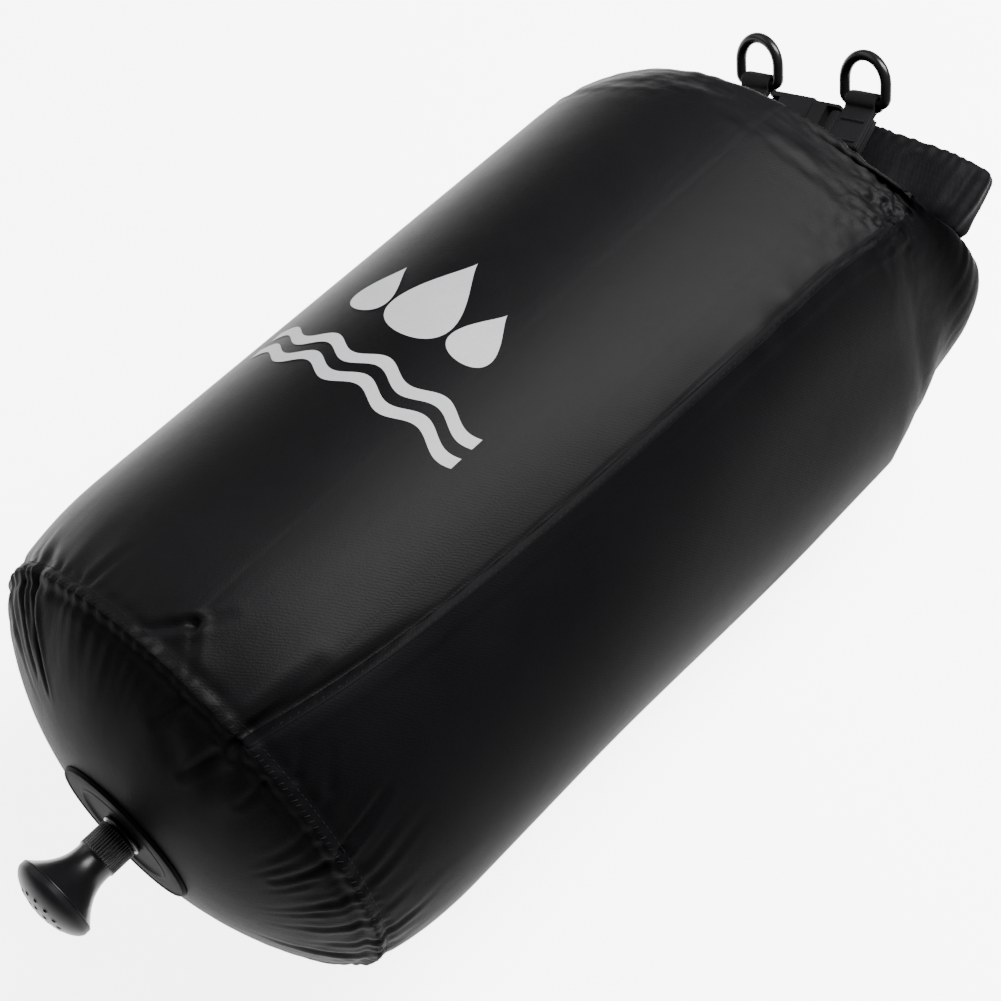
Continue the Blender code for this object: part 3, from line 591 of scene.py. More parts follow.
def long_seam_folds(row_share, angle, along, off):
    """A lapped ridge, the crease that it pulls, and the flat front that it bounds near the mouth."""
    rise = np.zeros_like(along)
    on_tube = smoothstep(0.0, 0.004, along) * (1.0 - smoothstep(1.25, 1.5, row_share))
    lap = smoothstep(-0.0006, 0.0006, off) * (1 - smoothstep(0.008, 0.0088, off))
    rise += on_tube * 0.00030 * lap
    rise -= on_tube * 0.00055 * bump(off, -0.0003, 0.0008)
    crease = (1.0 - smoothstep(0.020, 0.075, along)) * on_tube
    crease_width = 0.0030 - 0.0008 * smoothstep(0.0, 0.05, along)
    rise -= 0.0030 * crease * bump(off, -0.0010, crease_width)
    rise += 0.0005 * crease * bump(off, -0.0100, 0.0060)
    rise += 0.0006 * crease * bump(off, 0.0080, 0.0060)
    # towards the mouth the long seam becomes a corner between a flat front and the side
    corner = smoothstep(0.30, 0.95, row_share) * (1.0 - smoothstep(1.25, 1.75, row_share))
    rise += 0.0050 * corner * np.exp(-np.abs(off) / 0.024)
    rise -= 0.0016 * corner * bump(off, 0.040, 0.026)
    rise -= 0.0012 * corner * bump(off, -0.036, 0.026)
    # the side between this corner and the far edge is nearly flat there too
    facing = smoothstep(0.35, 0.85, row_share) * (1.0 - smoothstep(1.15, 1.50, row_share))
    far_edge = np.exp(-np.abs(round_bag(angle, 108.0)) / 0.018)
    rise += 0.0040 * facing * (1.0 - smoothstep(1.00, 1.25, row_share)) * far_edge
    rise -= 0.0048 * facing * bump(round_bag(angle, 73.0), 0.0, 0.036)
    kinks = wave_noise(off * 0.4, along, 31, 0.018, 2)
    rise += 0.00055 * kinks * smoothstep(0.35, 1.0, row_share) * bump(off, 0.0, 0.007)

    # crumpled corner where the seam meets the shoulder
    crumple = bump(row_share, 1.26, 0.20) * bump(off, -0.006, 0.013)
    veins = 1.0 - 3.2 * np.abs(wave_noise(off * 1.5, along * 1.5, 44, 0.015, 3))
    rise += 0.00085 * crumple * veins
    return rise


def shoulder_folds(row_share, angle, along, arc):
    """Pulls that run up the shoulder into the rolled mouth, bunched at its two ends."""
    turn = wrapped(angle + TOP_ANGLE)
    from_end = np.minimum(np.abs(wrapped(turn)), np.abs(wrapped(turn - math.pi)))
    ends = bump(from_end, 0.0, 0.55)
    calm = 1.0 - 0.8 * bump(wrapped(angle - math.radians(75.0)), 0.0, 0.60)
    pull = smoothstep(1.05, 1.75, row_share) * (0.40 + 0.5 * ends) * calm
    wander = wave_noise(arc, along, 51, 0.060, 2)
    patchy = 0.55 + 0.75 * wave_noise(turn * 0.050, row_share * 0.01, 54, 0.022, 2)
    rise = 0.00075 * pull * patchy * np.sin(turn * 33.0 + 5.5 * wander + 4.0 * row_share)
    rise += 0.0010 * pull * wave_noise(turn * 0.060, row_share * 0.02, 52, 0.016, 3)
    rise -= 0.0032 * bump(row_share, 1.46, 0.14) * bump(round_bag(angle, 88.0), 0.0, 0.050)
    ridge_lines = smoothstep(0.96, 1.08, row_share) * (1.0 - smoothstep(1.35, 1.6, row_share))
    rise += 0.00035 * ridge_lines * calm * wave_noise(arc * 0.25, along * 1.0, 53, 0.010, 3)
    return rise


# dents beside the base seam: distance past it, degrees round, reach along, reach round, depth
DENTS = [
    (0.0060, 1.0, 0.0055, 5.0, 0.0017), (-0.0100, 26.0, 0.0080, 4.0, 0.0018),
    (-0.0160, 17.0, 0.0060, 5.0, 0.0008), (0.0030, -40.0, 0.0060, 2.4, 0.0014),
    (-0.0040, -44.0, 0.0120, 1.8, 0.0013), (-0.0100, -58.0, 0.0140, 2.0, 0.0011),
    (-0.0040, 50.0, 0.0110, 1.2, 0.0007), (0.0040, 57.0, 0.0120, 1.1, 0.0008),
    (-0.0090, 62.0, 0.0100, 0.9, 0.0006), (0.0020, 68.0, 0.0170, 1.2, 0.0010),
    (-0.0100, 74.0, 0.0110, 0.9, 0.0006), (-0.0040, 80.0, 0.0140, 1.1, 0.0008),
    (0.0100, 45.0, 0.0080, 1.2, 0.0007), (0.0160, 53.0, 0.0090, 1.0, 0.0006),
    (0.0050, -75.0, 0.0140, 1.8, 0.0010), (0.0120, 61.0, 0.0080, 0.9, 0.0005),
    (0.0030, 88.0, 0.0140, 1.2, 0.0008), (-0.0140, 56.0, 0.0070, 0.9, 0.0005),
    (-0.0050, 120.0, 0.0150, 1.8, 0.0012), (0.0060, 150.0, 0.0120, 2.0, 0.0011),
    (0.0040, -110.0, 0.0150, 1.8, 0.0012), (-0.0060, -140.0, 0.0150, 1.8, 0.0012),
    (0.0080, 178.0, 0.0120, 2.0, 0.0010), (-0.0090, 100.0, 0.0150, 1.8, 0.0011),
]

# sharp creases: from and to as distance past the base seam and degrees round, depth, half width
CREASES = [
    ((0.0140, 3.0), (0.0010, -5.5), 0.0016, 0.0013),
    ((0.0140, 3.0), (0.0020, 9.5), 0.0014, 0.0012),
    ((0.0140, 3.0), (0.0230, 7.0), 0.0010, 0.0014),
    ((-0.0010, 25.5), (-0.0190, 22.5), 0.0020, 0.0016),
    ((0.0010, 25.0), (0.0300, 25.5), 0.0022, 0.0022),
    ((0.0000, -41.0), (-0.0300, -38.0), 0.0020, 0.0014),
    ((-0.0020, -48.0), (-0.0260, -45.0), 0.0014, 0.0014),
    ((-0.0040, 12.0), (-0.0130, 9.0), 0.0010, 0.0014),
    ((0.0050, 38.0), (0.0130, 33.5), 0.0011, 0.0012),
    ((0.0100, 44.0), (0.0180, 38.0), 0.0010, 0.0012),
    ((0.0020, 57.0), (-0.0180, 60.5), 0.0015, 0.0013),
    ((0.0030, 56.0), (0.0220, 52.0), 0.0013, 0.0013),
    ((0.0060, -22.0), (0.0200, -19.0), 0.0009, 0.0014),
    ((-0.0020, 35.0), (-0.0110, 36.5), 0.0009, 0.0012),
]


def dents_and_creases(angle, along):
    """Listed dents and drawn wrinkles beside the base seam."""
    rise = np.zeros_like(along)
    for at, degrees, reach_along, reach_around, depth in DENTS:
        near = wrapped(angle - math.radians(degrees)) * SEAM_RADIUS + (along - at) * 0.35
        half = reach_around * 0.0015
        hollow = bump(near, 0.0, half)
        hollow = hollow - 0.55 * bump(near, 1.7 * half, half) - 0.35 * bump(near, -1.8 * half, half)
        rise -= 0.8 * depth * hollow * bump(along, at, reach_along)
    across = wrapped(angle) * SEAM_RADIUS
    for (along_0, turn_0), (along_1, turn_1), depth, half in CREASES:
        run = np.array((math.radians(turn_1 - turn_0) * SEAM_RADIUS, along_1 - along_0))
        past_u, past_v = across - math.radians(turn_0) * SEAM_RADIUS, along - along_0
        t = np.clip((past_u * run[0] + past_v * run[1]) / (run @ run), 0.0, 1.0)
        away = np.hypot(past_u - t * run[0], past_v - t * run[1])
        lips = 0.35 * bump(away, 2.4 * half, 1.3 * half)
        rise += (1.0 - 0.75 * t) * depth * (lips - np.exp(-(away / half) ** 1.4))
    return rise


def add_folds(grid, share, phi):
    """Sewn and creased detail that is finer than the cloth."""
    x = grid[:, :, 0]
    row_share = share[:, None] * np.ones_like(x)
    angle = phi[None, :] * np.ones_like(x)
    radius = np.hypot(grid[:, :, 1], grid[:, :, 2] - AXIS_Z)
    along = np.where(row_share < 0, radius - SEAM_RADIUS, x - SEAM_X)
    arc = wrapped(angle) * np.where(row_share < 0, radius, BAG_RADIUS)
    off = wrapped(angle - side_seam_phi(x)) * BAG_RADIUS
    rise = base_seam_folds(angle, along, arc) + long_seam_folds(row_share, angle, along, off)
    rise += shoulder_folds(row_share, angle, along, arc) + dents_and_creases(angle, along)
    return grid + grid_normals(grid, True) * rise[:, :, None]


def split_skin(grid, share, phi):
    """Base dome and bag from one grid, meeting at the seam."""
    seam_row = int(np.argmin(np.abs(share)))
    x = grid[:, :, 0]
    around = phi[None, :] * BAG_RADIUS * np.ones_like(x)
    steps = np.linalg.norm(np.diff(grid, axis=0), axis=2)
    along = np.concatenate([np.zeros((1, grid.shape[1])), np.cumsum(steps, axis=0)])
    along -= along[seam_row]
    uv = np.stack([around, along], -1) + 0.5  # a shift only: 0.5 is on the noise textures' planes too
    dome = grid[: seam_row + 1]
    dome_uv = np.stack([dome[:, :, 1], dome[:, :, 2]], -1)
    base = grid_object("base_skin", dome)
    layer = base.data.uv_layers.new(name="metres")
    corner = np.empty(len(base.data.loops), np.int32)
    base.data.loops.foreach_get("vertex_index", corner)
    layer.data.foreach_set("uv", dome_uv.reshape(-1, 2)[corner].reshape(-1).astype(np.float32))
    body = grid_object("bag_skin", grid[seam_row:], uv[seam_row:])
    # the side from the long seam down looks duller in the photo, so its faces take a darker, less glossy
    # copy of the shell cloth: painted shade, as the real side panel is the same fabric
    seam = side_seam_phi(x[seam_row:-1].mean(axis=1))[:, None]
    past = wrapped(phi[None, :] + math.pi / len(phi) - seam)
    side = ((past > 0) & (past < math.radians(160.0))).astype(np.int32).reshape(-1)
    return base, body, seam_row, side


# ---------------------------------------------------------------- sweeps and turned pieces
def sweep(name, path, side, section, closed_path=False, uv_across=None):
    """A section (across, out) carried along a path; 'across' follows the constant direction side."""
    path = np.asarray(path, float)
    if closed_path:
        tangent = np.roll(path, -1, 0) - np.roll(path, 1, 0)
    else:
        tangent = np.gradient(path, axis=0)
    tangent /= np.linalg.norm(tangent, axis=1, keepdims=True)
    side = np.asarray(side, float)
    out = np.cross(tangent, side[None, :])
    out /= np.linalg.norm(out, axis=1, keepdims=True)
    section = np.asarray(section, float)
    if section.ndim == 2:
        section = np.broadcast_to(section, (len(path),) + section.shape)
    grid = path[:, None, :] + section[:, :, 0:1] * side + section[:, :, 1:2] * out[:, None, :]
    if closed_path:
        grid = np.concatenate([grid, grid[:1]])
    length = path_lengths(grid[:, 0])
    if uv_across is None:
        uv_across = section[0][:, 0]
    uv = np.stack([
        np.broadcast_to(length[:, None], grid.shape[:2]),
        np.broadcast_to(np.asarray(uv_across)[None, :], grid.shape[:2])], -1)
    made = grid_object(name, grid, uv, closed=True, ends=(not closed_path, not closed_path))
    return cleaned(made, welded=closed_path)


def path_lengths(path):
    return np.concatenate([[0.0], np.cumsum(np.linalg.norm(np.diff(path, axis=0), axis=1))])


def cleaned(obj, welded=False, normals=True):
    """The same object with its doubled points merged or its normals made consistent."""
    work = bmesh.new()
    work.from_mesh(obj.data)
    if welded:
        bmesh.ops.remove_doubles(work, verts=work.verts, dist=1e-6)
    if normals:
        bmesh.ops.recalc_face_normals(work, faces=work.faces)
    work.to_mesh(obj.data)
    work.free()
    return obj


def strap_section(width, thickness, count=36):
    """A flat strap's rounded section, as (across, out)."""
    turn = math.tau * np.arange(count) / count
    across = np.sign(np.cos(turn)) * np.abs(np.cos(turn)) ** 0.35 * width / 2
    out = np.sign(np.sin(turn)) * np.abs(np.sin(turn)) ** 0.6 * thickness / 2
    return np.stack([across, out], -1)


def smooth_path(points, steps):
    """A curve through every point, in equal steps between each two."""
    ends = [points[0]] + list(points) + [points[-1]]
    path = []
    for k in range(len(points) - 1):
        a, b, c, d = (Vector(p) for p in ends[k:k + 4])
        for j in range(steps):
            t = j / steps
            bend = 2 * b + (c - a) * t + (2 * a - 5 * b + 4 * c - d) * t ** 2
            path.append((bend + (3 * b - a - 3 * c + d) * t ** 3) / 2)
    path.append(Vector(points[-1]))
    return np.array([tuple(p) for p in path])


def round_shower(radius, turn, height):
    """Points at a radius and turn about the shower's axis, at a height out from the base seam."""
    shape = np.broadcast_shapes(np.shape(radius), np.shape(height), np.shape(turn))
    x = np.broadcast_to(SEAM_X - height, shape)
    return np.stack([x, -radius * np.sin(turn), AXIS_Z + radius * np.cos(turn)], -1)


def turned(name, profile, sides, ribs=None):
    """A surface of revolution about the shower's axis, from (radius, height) points."""
    profile = np.asarray(profile, float)
    turn = math.tau * np.arange(sides) / sides
    radius = profile[:, 0:1] * np.ones((1, sides))
    if ribs is not None:
        radius = radius + ribs(profile, turn)
    return cleaned(grid_object(name, round_shower(radius, turn, profile[:, 1:2])))


def rounded(points, radius, steps=4):
    """A profile with each inner corner eased by a small curve."""
    points = [Vector(p) for p in points]
    out = [points[0]]
    for before, here, after in zip(points, points[1:], points[2:]):
        near = min(radius, (before - here).length * 0.45)
        far = min(radius, (after - here).length * 0.45)
        start = here + (before - here).normalized() * near
        end = here + (after - here).normalized() * far
        for k in range(steps + 1):
            t = k / steps
            out.append(start * (1 - t) ** 2 + here * 2 * t * (1 - t) + end * t ** 2)
    out.append(points[-1])
    return [tuple(p) for p in out]


# ---------------------------------------------------------------- build: skin
skin = shaped_skin()
skin_share = grid_shares(skin.shape[0])
skin_phi = math.tau * np.arange(skin.shape[1]) / skin.shape[1] - TOP_ANGLE
skin = add_folds(skin, skin_share, skin_phi)
skin[:, :, 2] = np.maximum(skin[:, :, 2], 0.0003)
base_skin, bag_skin, seam_row, shaded_side_faces = split_skin(skin, skin_share, skin_phi)
dress(base_skin, BASE_CLOTH)
dress(bag_skin, SHELL)
# the side below the long seam takes the painted-shade copy of the shell cloth
bag_skin.data.materials.append(SHADED_SIDE_CLOTH)
bag_skin.data.polygons.foreach_set("material_index", shaded_side_faces)
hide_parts("base_panel")
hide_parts("bag_body")
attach(base_skin, "bag")
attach(bag_skin, "bag")


def skin_rows(share):
    """A share of the tube, or -1 to 0 on the dome, as a fractional row of the final skin."""
    share = np.asarray(share, float)
    on_dome = seam_row * (1.0 + share)
    on_tube = seam_row + share * 2 * (TUBE_ROWS - 1)
    return np.where(share < 0, on_dome, on_tube)


SKIN_NORMALS = grid_normals(skin, True)


def on_skin(row, phi, lift=0.0):
    """Points over the final skin at fractional rows and angles."""
    row = np.clip(np.asarray(row, float), 0, skin.shape[0] - 1.001)
    column = (np.asarray(phi, float) + TOP_ANGLE) / math.tau * skin.shape[1]
    r0, c0 = np.floor(row).astype(int), np.floor(column).astype(int)
    fr, fc = (row - r0)[..., None], (column - c0)[..., None]
    c1 = (c0 + 1) % skin.shape[1]
    c0 = c0 % skin.shape[1]

    def mix(field):
        low = field[r0, c0] * (1 - fc) + field[r0, c1] * fc
        high = field[r0 + 1, c0] * (1 - fc) + field[r0 + 1, c1] * fc
        return low * (1 - fr) + high * fr

    normal = mix(SKIN_NORMALS)
    normal /= np.linalg.norm(normal, axis=-1, keepdims=True)
    return mix(skin) + normal * lift, normal


def seam_offset_rows(distance):
    """Fractional row at a distance in metres from the base seam, positive on the tube."""
    length = path_lengths(skin[:, 0])
    length -= length[seam_row]
    return np.interp(distance, length, np.arange(len(length)))


def stitch_mesh(name, starts, ends, normals, radius=0.00022, arch=0.00030, dip=0.00030):
    """Sewn stitches: short threads that rise out of the cloth and dive back into it."""
    count, rings, sides = len(starts), 7, 6
    t = np.linspace(0.0, 1.0, rings)
    path = starts[:, None, :] * (1 - t)[None, :, None] + ends[:, None, :] * t[None, :, None]
    height = arch * np.sin(math.pi * t) - dip * (np.abs(2 * t - 1) ** 6)
    path = path + normals[:, None, :] * height[None, :, None]
    along = (ends - starts) / np.linalg.norm(ends - starts, axis=1, keepdims=True)
    side = np.cross(along, normals)
    side /= np.linalg.norm(side, axis=1, keepdims=True)
    width = radius * (1.0 - 0.35 * np.abs(2 * t - 1) ** 3)
    turn = math.tau * np.arange(sides) / sides
    ring = side[:, None, None, :] * np.cos(turn)[None, None, :, None]
    ring = ring + normals[:, None, None, :] * np.sin(turn)[None, None, :, None]
    points = path[:, :, None, :] + ring * width[None, :, None, None]
    base = (np.arange(count) * rings * sides)[:, None, None]
    r, c = np.meshgrid(np.arange(rings - 1), np.arange(sides), indexing="ij")
    after = (c + 1) % sides
    quad = np.stack([r * sides + c, r * sides + after, (r + 1) * sides + after, (r + 1) * sides + c], -1)
    faces = (base + quad.reshape(1, -1, 4)).reshape(-1, 4).tolist()
    caps = []
    for first in (np.arange(count) * rings * sides).tolist():
        caps.append([first + k for k in range(sides)][::-1])
        caps.append([first + (rings - 1) * sides + k for k in range(sides)])
    mesh = bpy.data.meshes.new(name)
    mesh.from_pydata(points.reshape(-1, 3).tolist(), [], faces + caps)
    mesh.shade_smooth()
    return cleaned(link(bpy.data.objects.new(name, mesh)))


def place(obj, material, body, slot_name, *nodes):
    """Gives a piece its material and body, and hides the CAD nodes that it replaces; slot_name is not used.
    """
    dress(obj, material)
    if nodes:
        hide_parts(*nodes)
    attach(obj, body)
    return obj


# ---------------------------------------------------------------- seams
STITCH_COUNT = 248
turns = math.tau * (np.arange(STITCH_COUNT) + 0.25 * rng.random(STITCH_COUNT)) / STITCH_COUNT
for name, row_low, row_high, lean, thick, arch in (
    ("base_stitches", -0.0004, 0.0019, 0.0085, 0.00017, 0.00020),
    ("base_topstitch", 0.0036, 0.0036, 0.0165, 0.00015, 0.00012),
):
    low, _ = on_skin(seam_offset_rows(np.full(STITCH_COUNT, row_low)), turns)
    high, normal = on_skin(seam_offset_rows(np.full(STITCH_COUNT, row_high)), turns + lean)
    place(stitch_mesh(name, low, high, normal, thick, arch), THREAD, "bag", "seam_tape")

TUBE_LENGTH = SHOULDER_X - SEAM_X
SEAM_STITCHES = 96
STITCH_LENGTH = 0.0019
STITCH_OFFSET = 0.0016  # from the long seam
shares = np.linspace(0.03, 1.02, SEAM_STITCHES)
stitch_phi = side_seam_phi(SEAM_X + TUBE_LENGTH * shares) + STITCH_OFFSET / BAG_RADIUS
low, _ = on_skin(skin_rows(shares), stitch_phi)
high, normal = on_skin(skin_rows(shares + STITCH_LENGTH / TUBE_LENGTH), stitch_phi)
stitches = stitch_mesh("side_stitches", low, high, normal, 0.00016, 0.0001, 0.0002)
place(stitches, THREAD, "bag", "seam_tape")


def strip_on_seam(shares, across):
    """Skin points along the long seam, at offsets across it in metres."""
    phi = side_seam_phi(SEAM_X + TUBE_LENGTH * np.minimum(shares, 1.0))[:, None] + across / BAG_RADIUS
    past_tube = np.maximum(shares - 1.0, 0.0) * 2 * SHOULDER_ROWS
    row = skin_rows(np.minimum(shares, 1.0)) + past_tube
    return on_skin(np.broadcast_to(row[:, None], phi.shape), phi)


def drawn_in(grid, radius, wanted):
    """Scales points from their radius about the bag's axis to the wanted one."""
    inward = wanted / radius
    grid[:, :, 1] *= inward
    grid[:, :, 2] = AXIS_Z + (grid[:, :, 2] - AXIS_Z) * inward
    return grid


def axis_radius(grid):
    return np.hypot(grid[:, :, 1], grid[:, :, 2] - AXIS_Z)


# the long seam's lap, as (across, lift) round its section
LAP_SECTION = np.array([
    (-0.0006, -0.0002), (-0.0005, 0.00018), (0.0, 0.00026), (0.0006, 0.00024), (0.0012, 0.00020),
    (0.0018, 0.00022), (0.0024, 0.00024), (0.0027, 0.00014), (0.0028, -0.0002), (0.0024, -0.0004),
    (0.0010, -0.0004), (-0.0004, -0.0004)])
lap_grid, lap_normal = strip_on_seam(np.linspace(0.0, 1.24, 420), LAP_SECTION[:, 0])
lap_grid = lap_grid + lap_normal * LAP_SECTION[:, 1][None, :, None]
lap_piece = cleaned(grid_object("side_lap", lap_grid, ends=(True, True)))
place(lap_piece, LAP_CLOTH, "bag", "bag_fabric")

# tapes inside the seams, each an outer and an inner face under the lowest skin nearby
RING_POINTS = 9
ring_reach = np.linspace(-0.0040, 0.0045, RING_POINTS)
ring_reach = np.concatenate([ring_reach, ring_reach[::-1]])
ring_depth = np.repeat((0.0012, 0.0016), RING_POINTS)
ring_phi = math.tau * np.arange(480) / 480
ring_rows, ring_cols = np.meshgrid(seam_offset_rows(ring_reach), ring_phi, indexing="ij")
ring_grid, _ = on_skin(ring_rows, ring_cols)
ring_radius = axis_radius(ring_grid)
nearby = np.min([np.roll(ring_radius, k, axis=1) for k in range(-3, 4)], axis=0)
ring_grid = drawn_in(ring_grid, ring_radius, nearby - ring_depth[:, None])
ring_grid[:, :, 0] += 0.0008 * (ring_reach[:, None] < 0)
ring_tape = grid_object("base_tape", np.concatenate([ring_grid, ring_grid[:1]]))
place(cleaned(ring_tape, welded=True), TAPE, "bag", "seam_tape", "base_seam_tape")

TAPE_POINTS = 13
tape_across = np.linspace(-0.006, 0.006, TAPE_POINTS)
tape_across = np.concatenate([tape_across, tape_across[::-1]])
tape_depth = np.repeat((0.0009, 0.0013), TAPE_POINTS)
tape_grid, _ = strip_on_seam(np.linspace(0.030, 1.0, 150), tape_across)
tape_radius = axis_radius(tape_grid)
lowest = tape_radius.min(axis=1, keepdims=True)
tape_grid = drawn_in(tape_grid, tape_radius, np.minimum(tape_radius, lowest + 0.0004) - tape_depth)
tape_piece = cleaned(grid_object("side_tape", tape_grid, ends=(True, True)))
place(tape_piece, TAPE, "bag", "seam_tape", "side_seam_tape")


# ---------------------------------------------------------------- print: drops over water, no lettering
def printed(arc_grid, x_grid):
    """Points just over the skin; arc is the distance round from the top towards -Y."""
    share = (x_grid - SEAM_X) / TUBE_LENGTH
    points, _ = on_skin(skin_rows(share), arc_grid / BAG_RADIUS, 0.00016)
    return points


def drop_points(centre_arc, foot_x, size):
    """A water drop as a polar grid: round at its foot and pointed towards the mouth of the bag."""
    turn = math.tau * np.arange(96) / 96
    reach = np.linspace(0.0, 1.0, 15)[:, None]
    outline = np.sin(turn) * np.abs(np.sin(turn / 2)) ** 1.6
    arc_grid = centre_arc + reach * outline * size * 0.52
    return printed(arc_grid, foot_x + size * 0.5 + reach * np.cos(turn) * size * 0.5)


PRINT_ARC = -0.0250
WAVE_WIDTH = 0.0048
pieces = []
for shift, foot, size in (
    (0.0, -0.0190, 0.0380), (-0.0235, -0.0165, 0.0240), (0.0235, -0.0165, 0.0240),
):
    drop = grid_object("print_part", drop_points(PRINT_ARC + shift, foot, size))
    pieces.append(cleaned(drop, welded=True, normals=False))
for foot in (-0.0335, -0.0430):
    travel = np.linspace(-0.0780, 0.0240, 220)
    middle = foot + 0.0022 * np.sin(travel * math.tau / 0.0255)
    across = np.linspace(-WAVE_WIDTH / 2, WAVE_WIDTH / 2, 9)[:, None]
    wave = printed(np.broadcast_to(travel, (9, 220)), middle[None, :] + across)
    pieces.append(grid_object("print_part", wave, closed=False))


def joined(name, parts):
    """One object from several, which are removed."""
    work = bmesh.new()
    for part in parts:
        work.from_mesh(part.data)
        bpy.data.objects.remove(part, do_unlink=True)
    mesh = bpy.data.meshes.new(name)
    work.to_mesh(mesh)
    work.free()
    mesh.shade_smooth()
    return link(bpy.data.objects.new(name, mesh))


place(joined("print_mark", pieces), PRINT_WHITE, "bag", "bag_fabric")

# ---------------------------------------------------------------- shower
PATCH_RADIUS = 0.0285
PATCH_HOLE = 0.0058
RIM_WIRE = 0.00042
PATCH = 0.0006
PATCH_GAP = 0.00025
NUT_RADIUS = 0.0080
NUT_HEIGHT = 0.0014
SPIGOT_RADIUS = 0.0052
SPIGOT_TIP_Z = 0.0460
COLLAR_RADIUS = 0.0076
RIB_DEPTH = 0.00045
HEAD_BORE = 0.0056
COLLAR_LENGTH = 0.0105
FLARE_END_Z = 0.0575
ROSE_RADIUS = 0.0154
ROSE_BULGE = 0.0062
ROSE_PLATE = 0.0016
GAP = 0.0003

patch_radii = np.concatenate([
    np.linspace(PATCH_HOLE, 0.0262, 44), np.linspace(0.0264, PATCH_RADIUS, 14)])
patch_top = dome_height(patch_radii) + PATCH_GAP + PATCH
patch_top += 0.00055 * bump(patch_radii, 0.0276, 0.0005)
patch_top += 0.00035 * bump(patch_radii, 0.0190, 0.0006)
patch_top -= 0.00030 * smoothstep(0.0278, PATCH_RADIUS, patch_radii)
patch_outline = list(zip(patch_radii, patch_top))
patch_outline += [
    (PATCH_RADIUS, patch_top[-1] - 0.0006),
    (PATCH_HOLE, float(dome_height(PATCH_HOLE)) + PATCH_GAP)]


patch = turned("patch_skin", patch_outline, 200)
place(patch, PATCH_BLACK, "bag", "seam_tape", "outlet_patch")
rim_turn = math.tau * np.arange(14) / 14
rim_height = float(dome_height(PATCH_RADIUS)) + PATCH_GAP + PATCH
rim = [(PATCH_RADIUS - 0.0008 + RIM_WIRE * math.cos(a), rim_height - 0.0001 + RIM_WIRE * math.sin(a))
       for a in rim_turn]
place(turned("patch_rim", rim, 240), RIM_BLACK, "bag", "seam_tape")
patch_height = float(dome_height(0.0)) + PATCH_GAP + PATCH + PATCH_GAP
nut_top, nut_bore = patch_height + NUT_HEIGHT, SPIGOT_RADIUS + GAP
nut = [(nut_bore, patch_height), (NUT_RADIUS, patch_height), (NUT_RADIUS, nut_top),
       (nut_bore, nut_top), (nut_bore, patch_height + 0.0001)]
nut = turned("nut_skin", rounded(nut, 0.0005), 120)
place(nut, SHOWER_BLACK, "bag", "shower_plastic", "clamp_nut")

collar_low = patch_height + NUT_HEIGHT + GAP
neck = collar_low + COLLAR_LENGTH
flare = []
for k in range(41):
    share = k / 40
    flared = ROSE_RADIUS - COLLAR_RADIUS + RIB_DEPTH
    radius = COLLAR_RADIUS - RIB_DEPTH + flared * share ** 2.1
    flare.append((radius, neck + 0.0004 + (FLARE_END_Z - neck - 0.0004) * share ** 0.92))
collar = [(HEAD_BORE, collar_low + 0.0002), (HEAD_BORE + 0.0003, collar_low)]
collar += [(COLLAR_RADIUS - 0.0005, collar_low), (COLLAR_RADIUS, collar_low + 0.0005)]
collar += [
    (COLLAR_RADIUS, collar_low + 0.0005 + (COLLAR_LENGTH - 0.0010) * k / 24) for k in range(1, 25)]
collar += [(COLLAR_RADIUS - 0.0003, neck - 0.0001)]
chamber = [
    (ROSE_RADIUS - 0.0002, FLARE_END_Z + 0.0002), (0.0140, FLARE_END_Z),
    (0.0134, FLARE_END_Z - 0.0006), (0.0078, SPIGOT_TIP_Z + 0.0050),
    (HEAD_BORE, SPIGOT_TIP_Z + 0.0026), (HEAD_BORE, collar_low + 0.0004)]


def grip_ribs(profile, turn):
    """Grooves cut round the collar for a grip."""
    height = profile[:, 1:2]
    outer = profile[:, 0:1] > COLLAR_RADIUS - 0.0001
    mask = smoothstep(collar_low + 0.0004, collar_low + 0.0012, height)
    mask = mask * (1.0 - smoothstep(neck - 0.0012, neck - 0.0004, height)) * outer
    groove = np.abs(np.sin(turn[None, :] * 22.0)) ** 0.7
    return -RIB_DEPTH * 1.25 * mask * (1.0 - groove)


head = turned("head_skin", collar + flare + chamber, 352, grip_ribs)
place(head, SHOWER_BLACK, "head", "shower_plastic", "shower_head")

rose_base = FLARE_END_Z + GAP + ROSE_PLATE
rose_edge = ROSE_RADIUS * (1 - np.linspace(0.18, 0.0, 12) ** 2)
rose_radii = np.concatenate([np.linspace(0.0, ROSE_RADIUS * 0.965, 110), rose_edge])
ROSE_SIDES = 360
rose_turn = math.tau * np.arange(ROSE_SIDES) / ROSE_SIDES
rr, tt = np.meshgrid(rose_radii, rose_turn, indexing="ij")
cap = rose_base + ROSE_BULGE * np.maximum(1.0 - (rr / ROSE_RADIUS) ** 2, 0.0) ** 0.6
hole_depth = np.zeros_like(rr)
for count, reach in ((1, 0.0), (6, 0.0042), (12, 0.0086)):
    for k in range(count):
        at = math.tau * k / count
        away = np.hypot(rr * np.cos(tt) - reach * math.cos(at), rr * np.sin(tt) - reach * math.sin(at))
        hole_depth = np.maximum(hole_depth, 1.0 - smoothstep(0.00048, 0.00072, away))
        cap = cap + 0.00010 * bump(away, 0.00095, 0.00022)
cap = cap - 0.0014 * hole_depth
side_heights = np.linspace(rose_base, rose_base - ROSE_PLATE, 8)[1:]
skirt_r = np.full((len(side_heights) + 1, ROSE_SIDES), ROSE_RADIUS)
skirt_r[-1] = ROSE_RADIUS - 0.0008
skirt_z = np.append(side_heights, rose_base - ROSE_PLATE)[:, None] * np.ones((1, ROSE_SIDES))
rose_grid = round_shower(np.concatenate([rr, skirt_r]), rose_turn, np.concatenate([cap, skirt_z]))
rose = cleaned(grid_object("rose_skin", rose_grid, ends=(False, True)), welded=True)
place(rose, ROSE_BLACK, "head", "shower_plastic", "rose_plate")

# ---------------------------------------------------------------- rolled mouth
OUT_AXIS = CLOSURE_ROT[:, 2]
LEFT_AXIS = CLOSURE_ROT[:, 0]
FRONT_AXIS = CLOSURE_ROT[:, 1]
ROLL_SIDES = 72


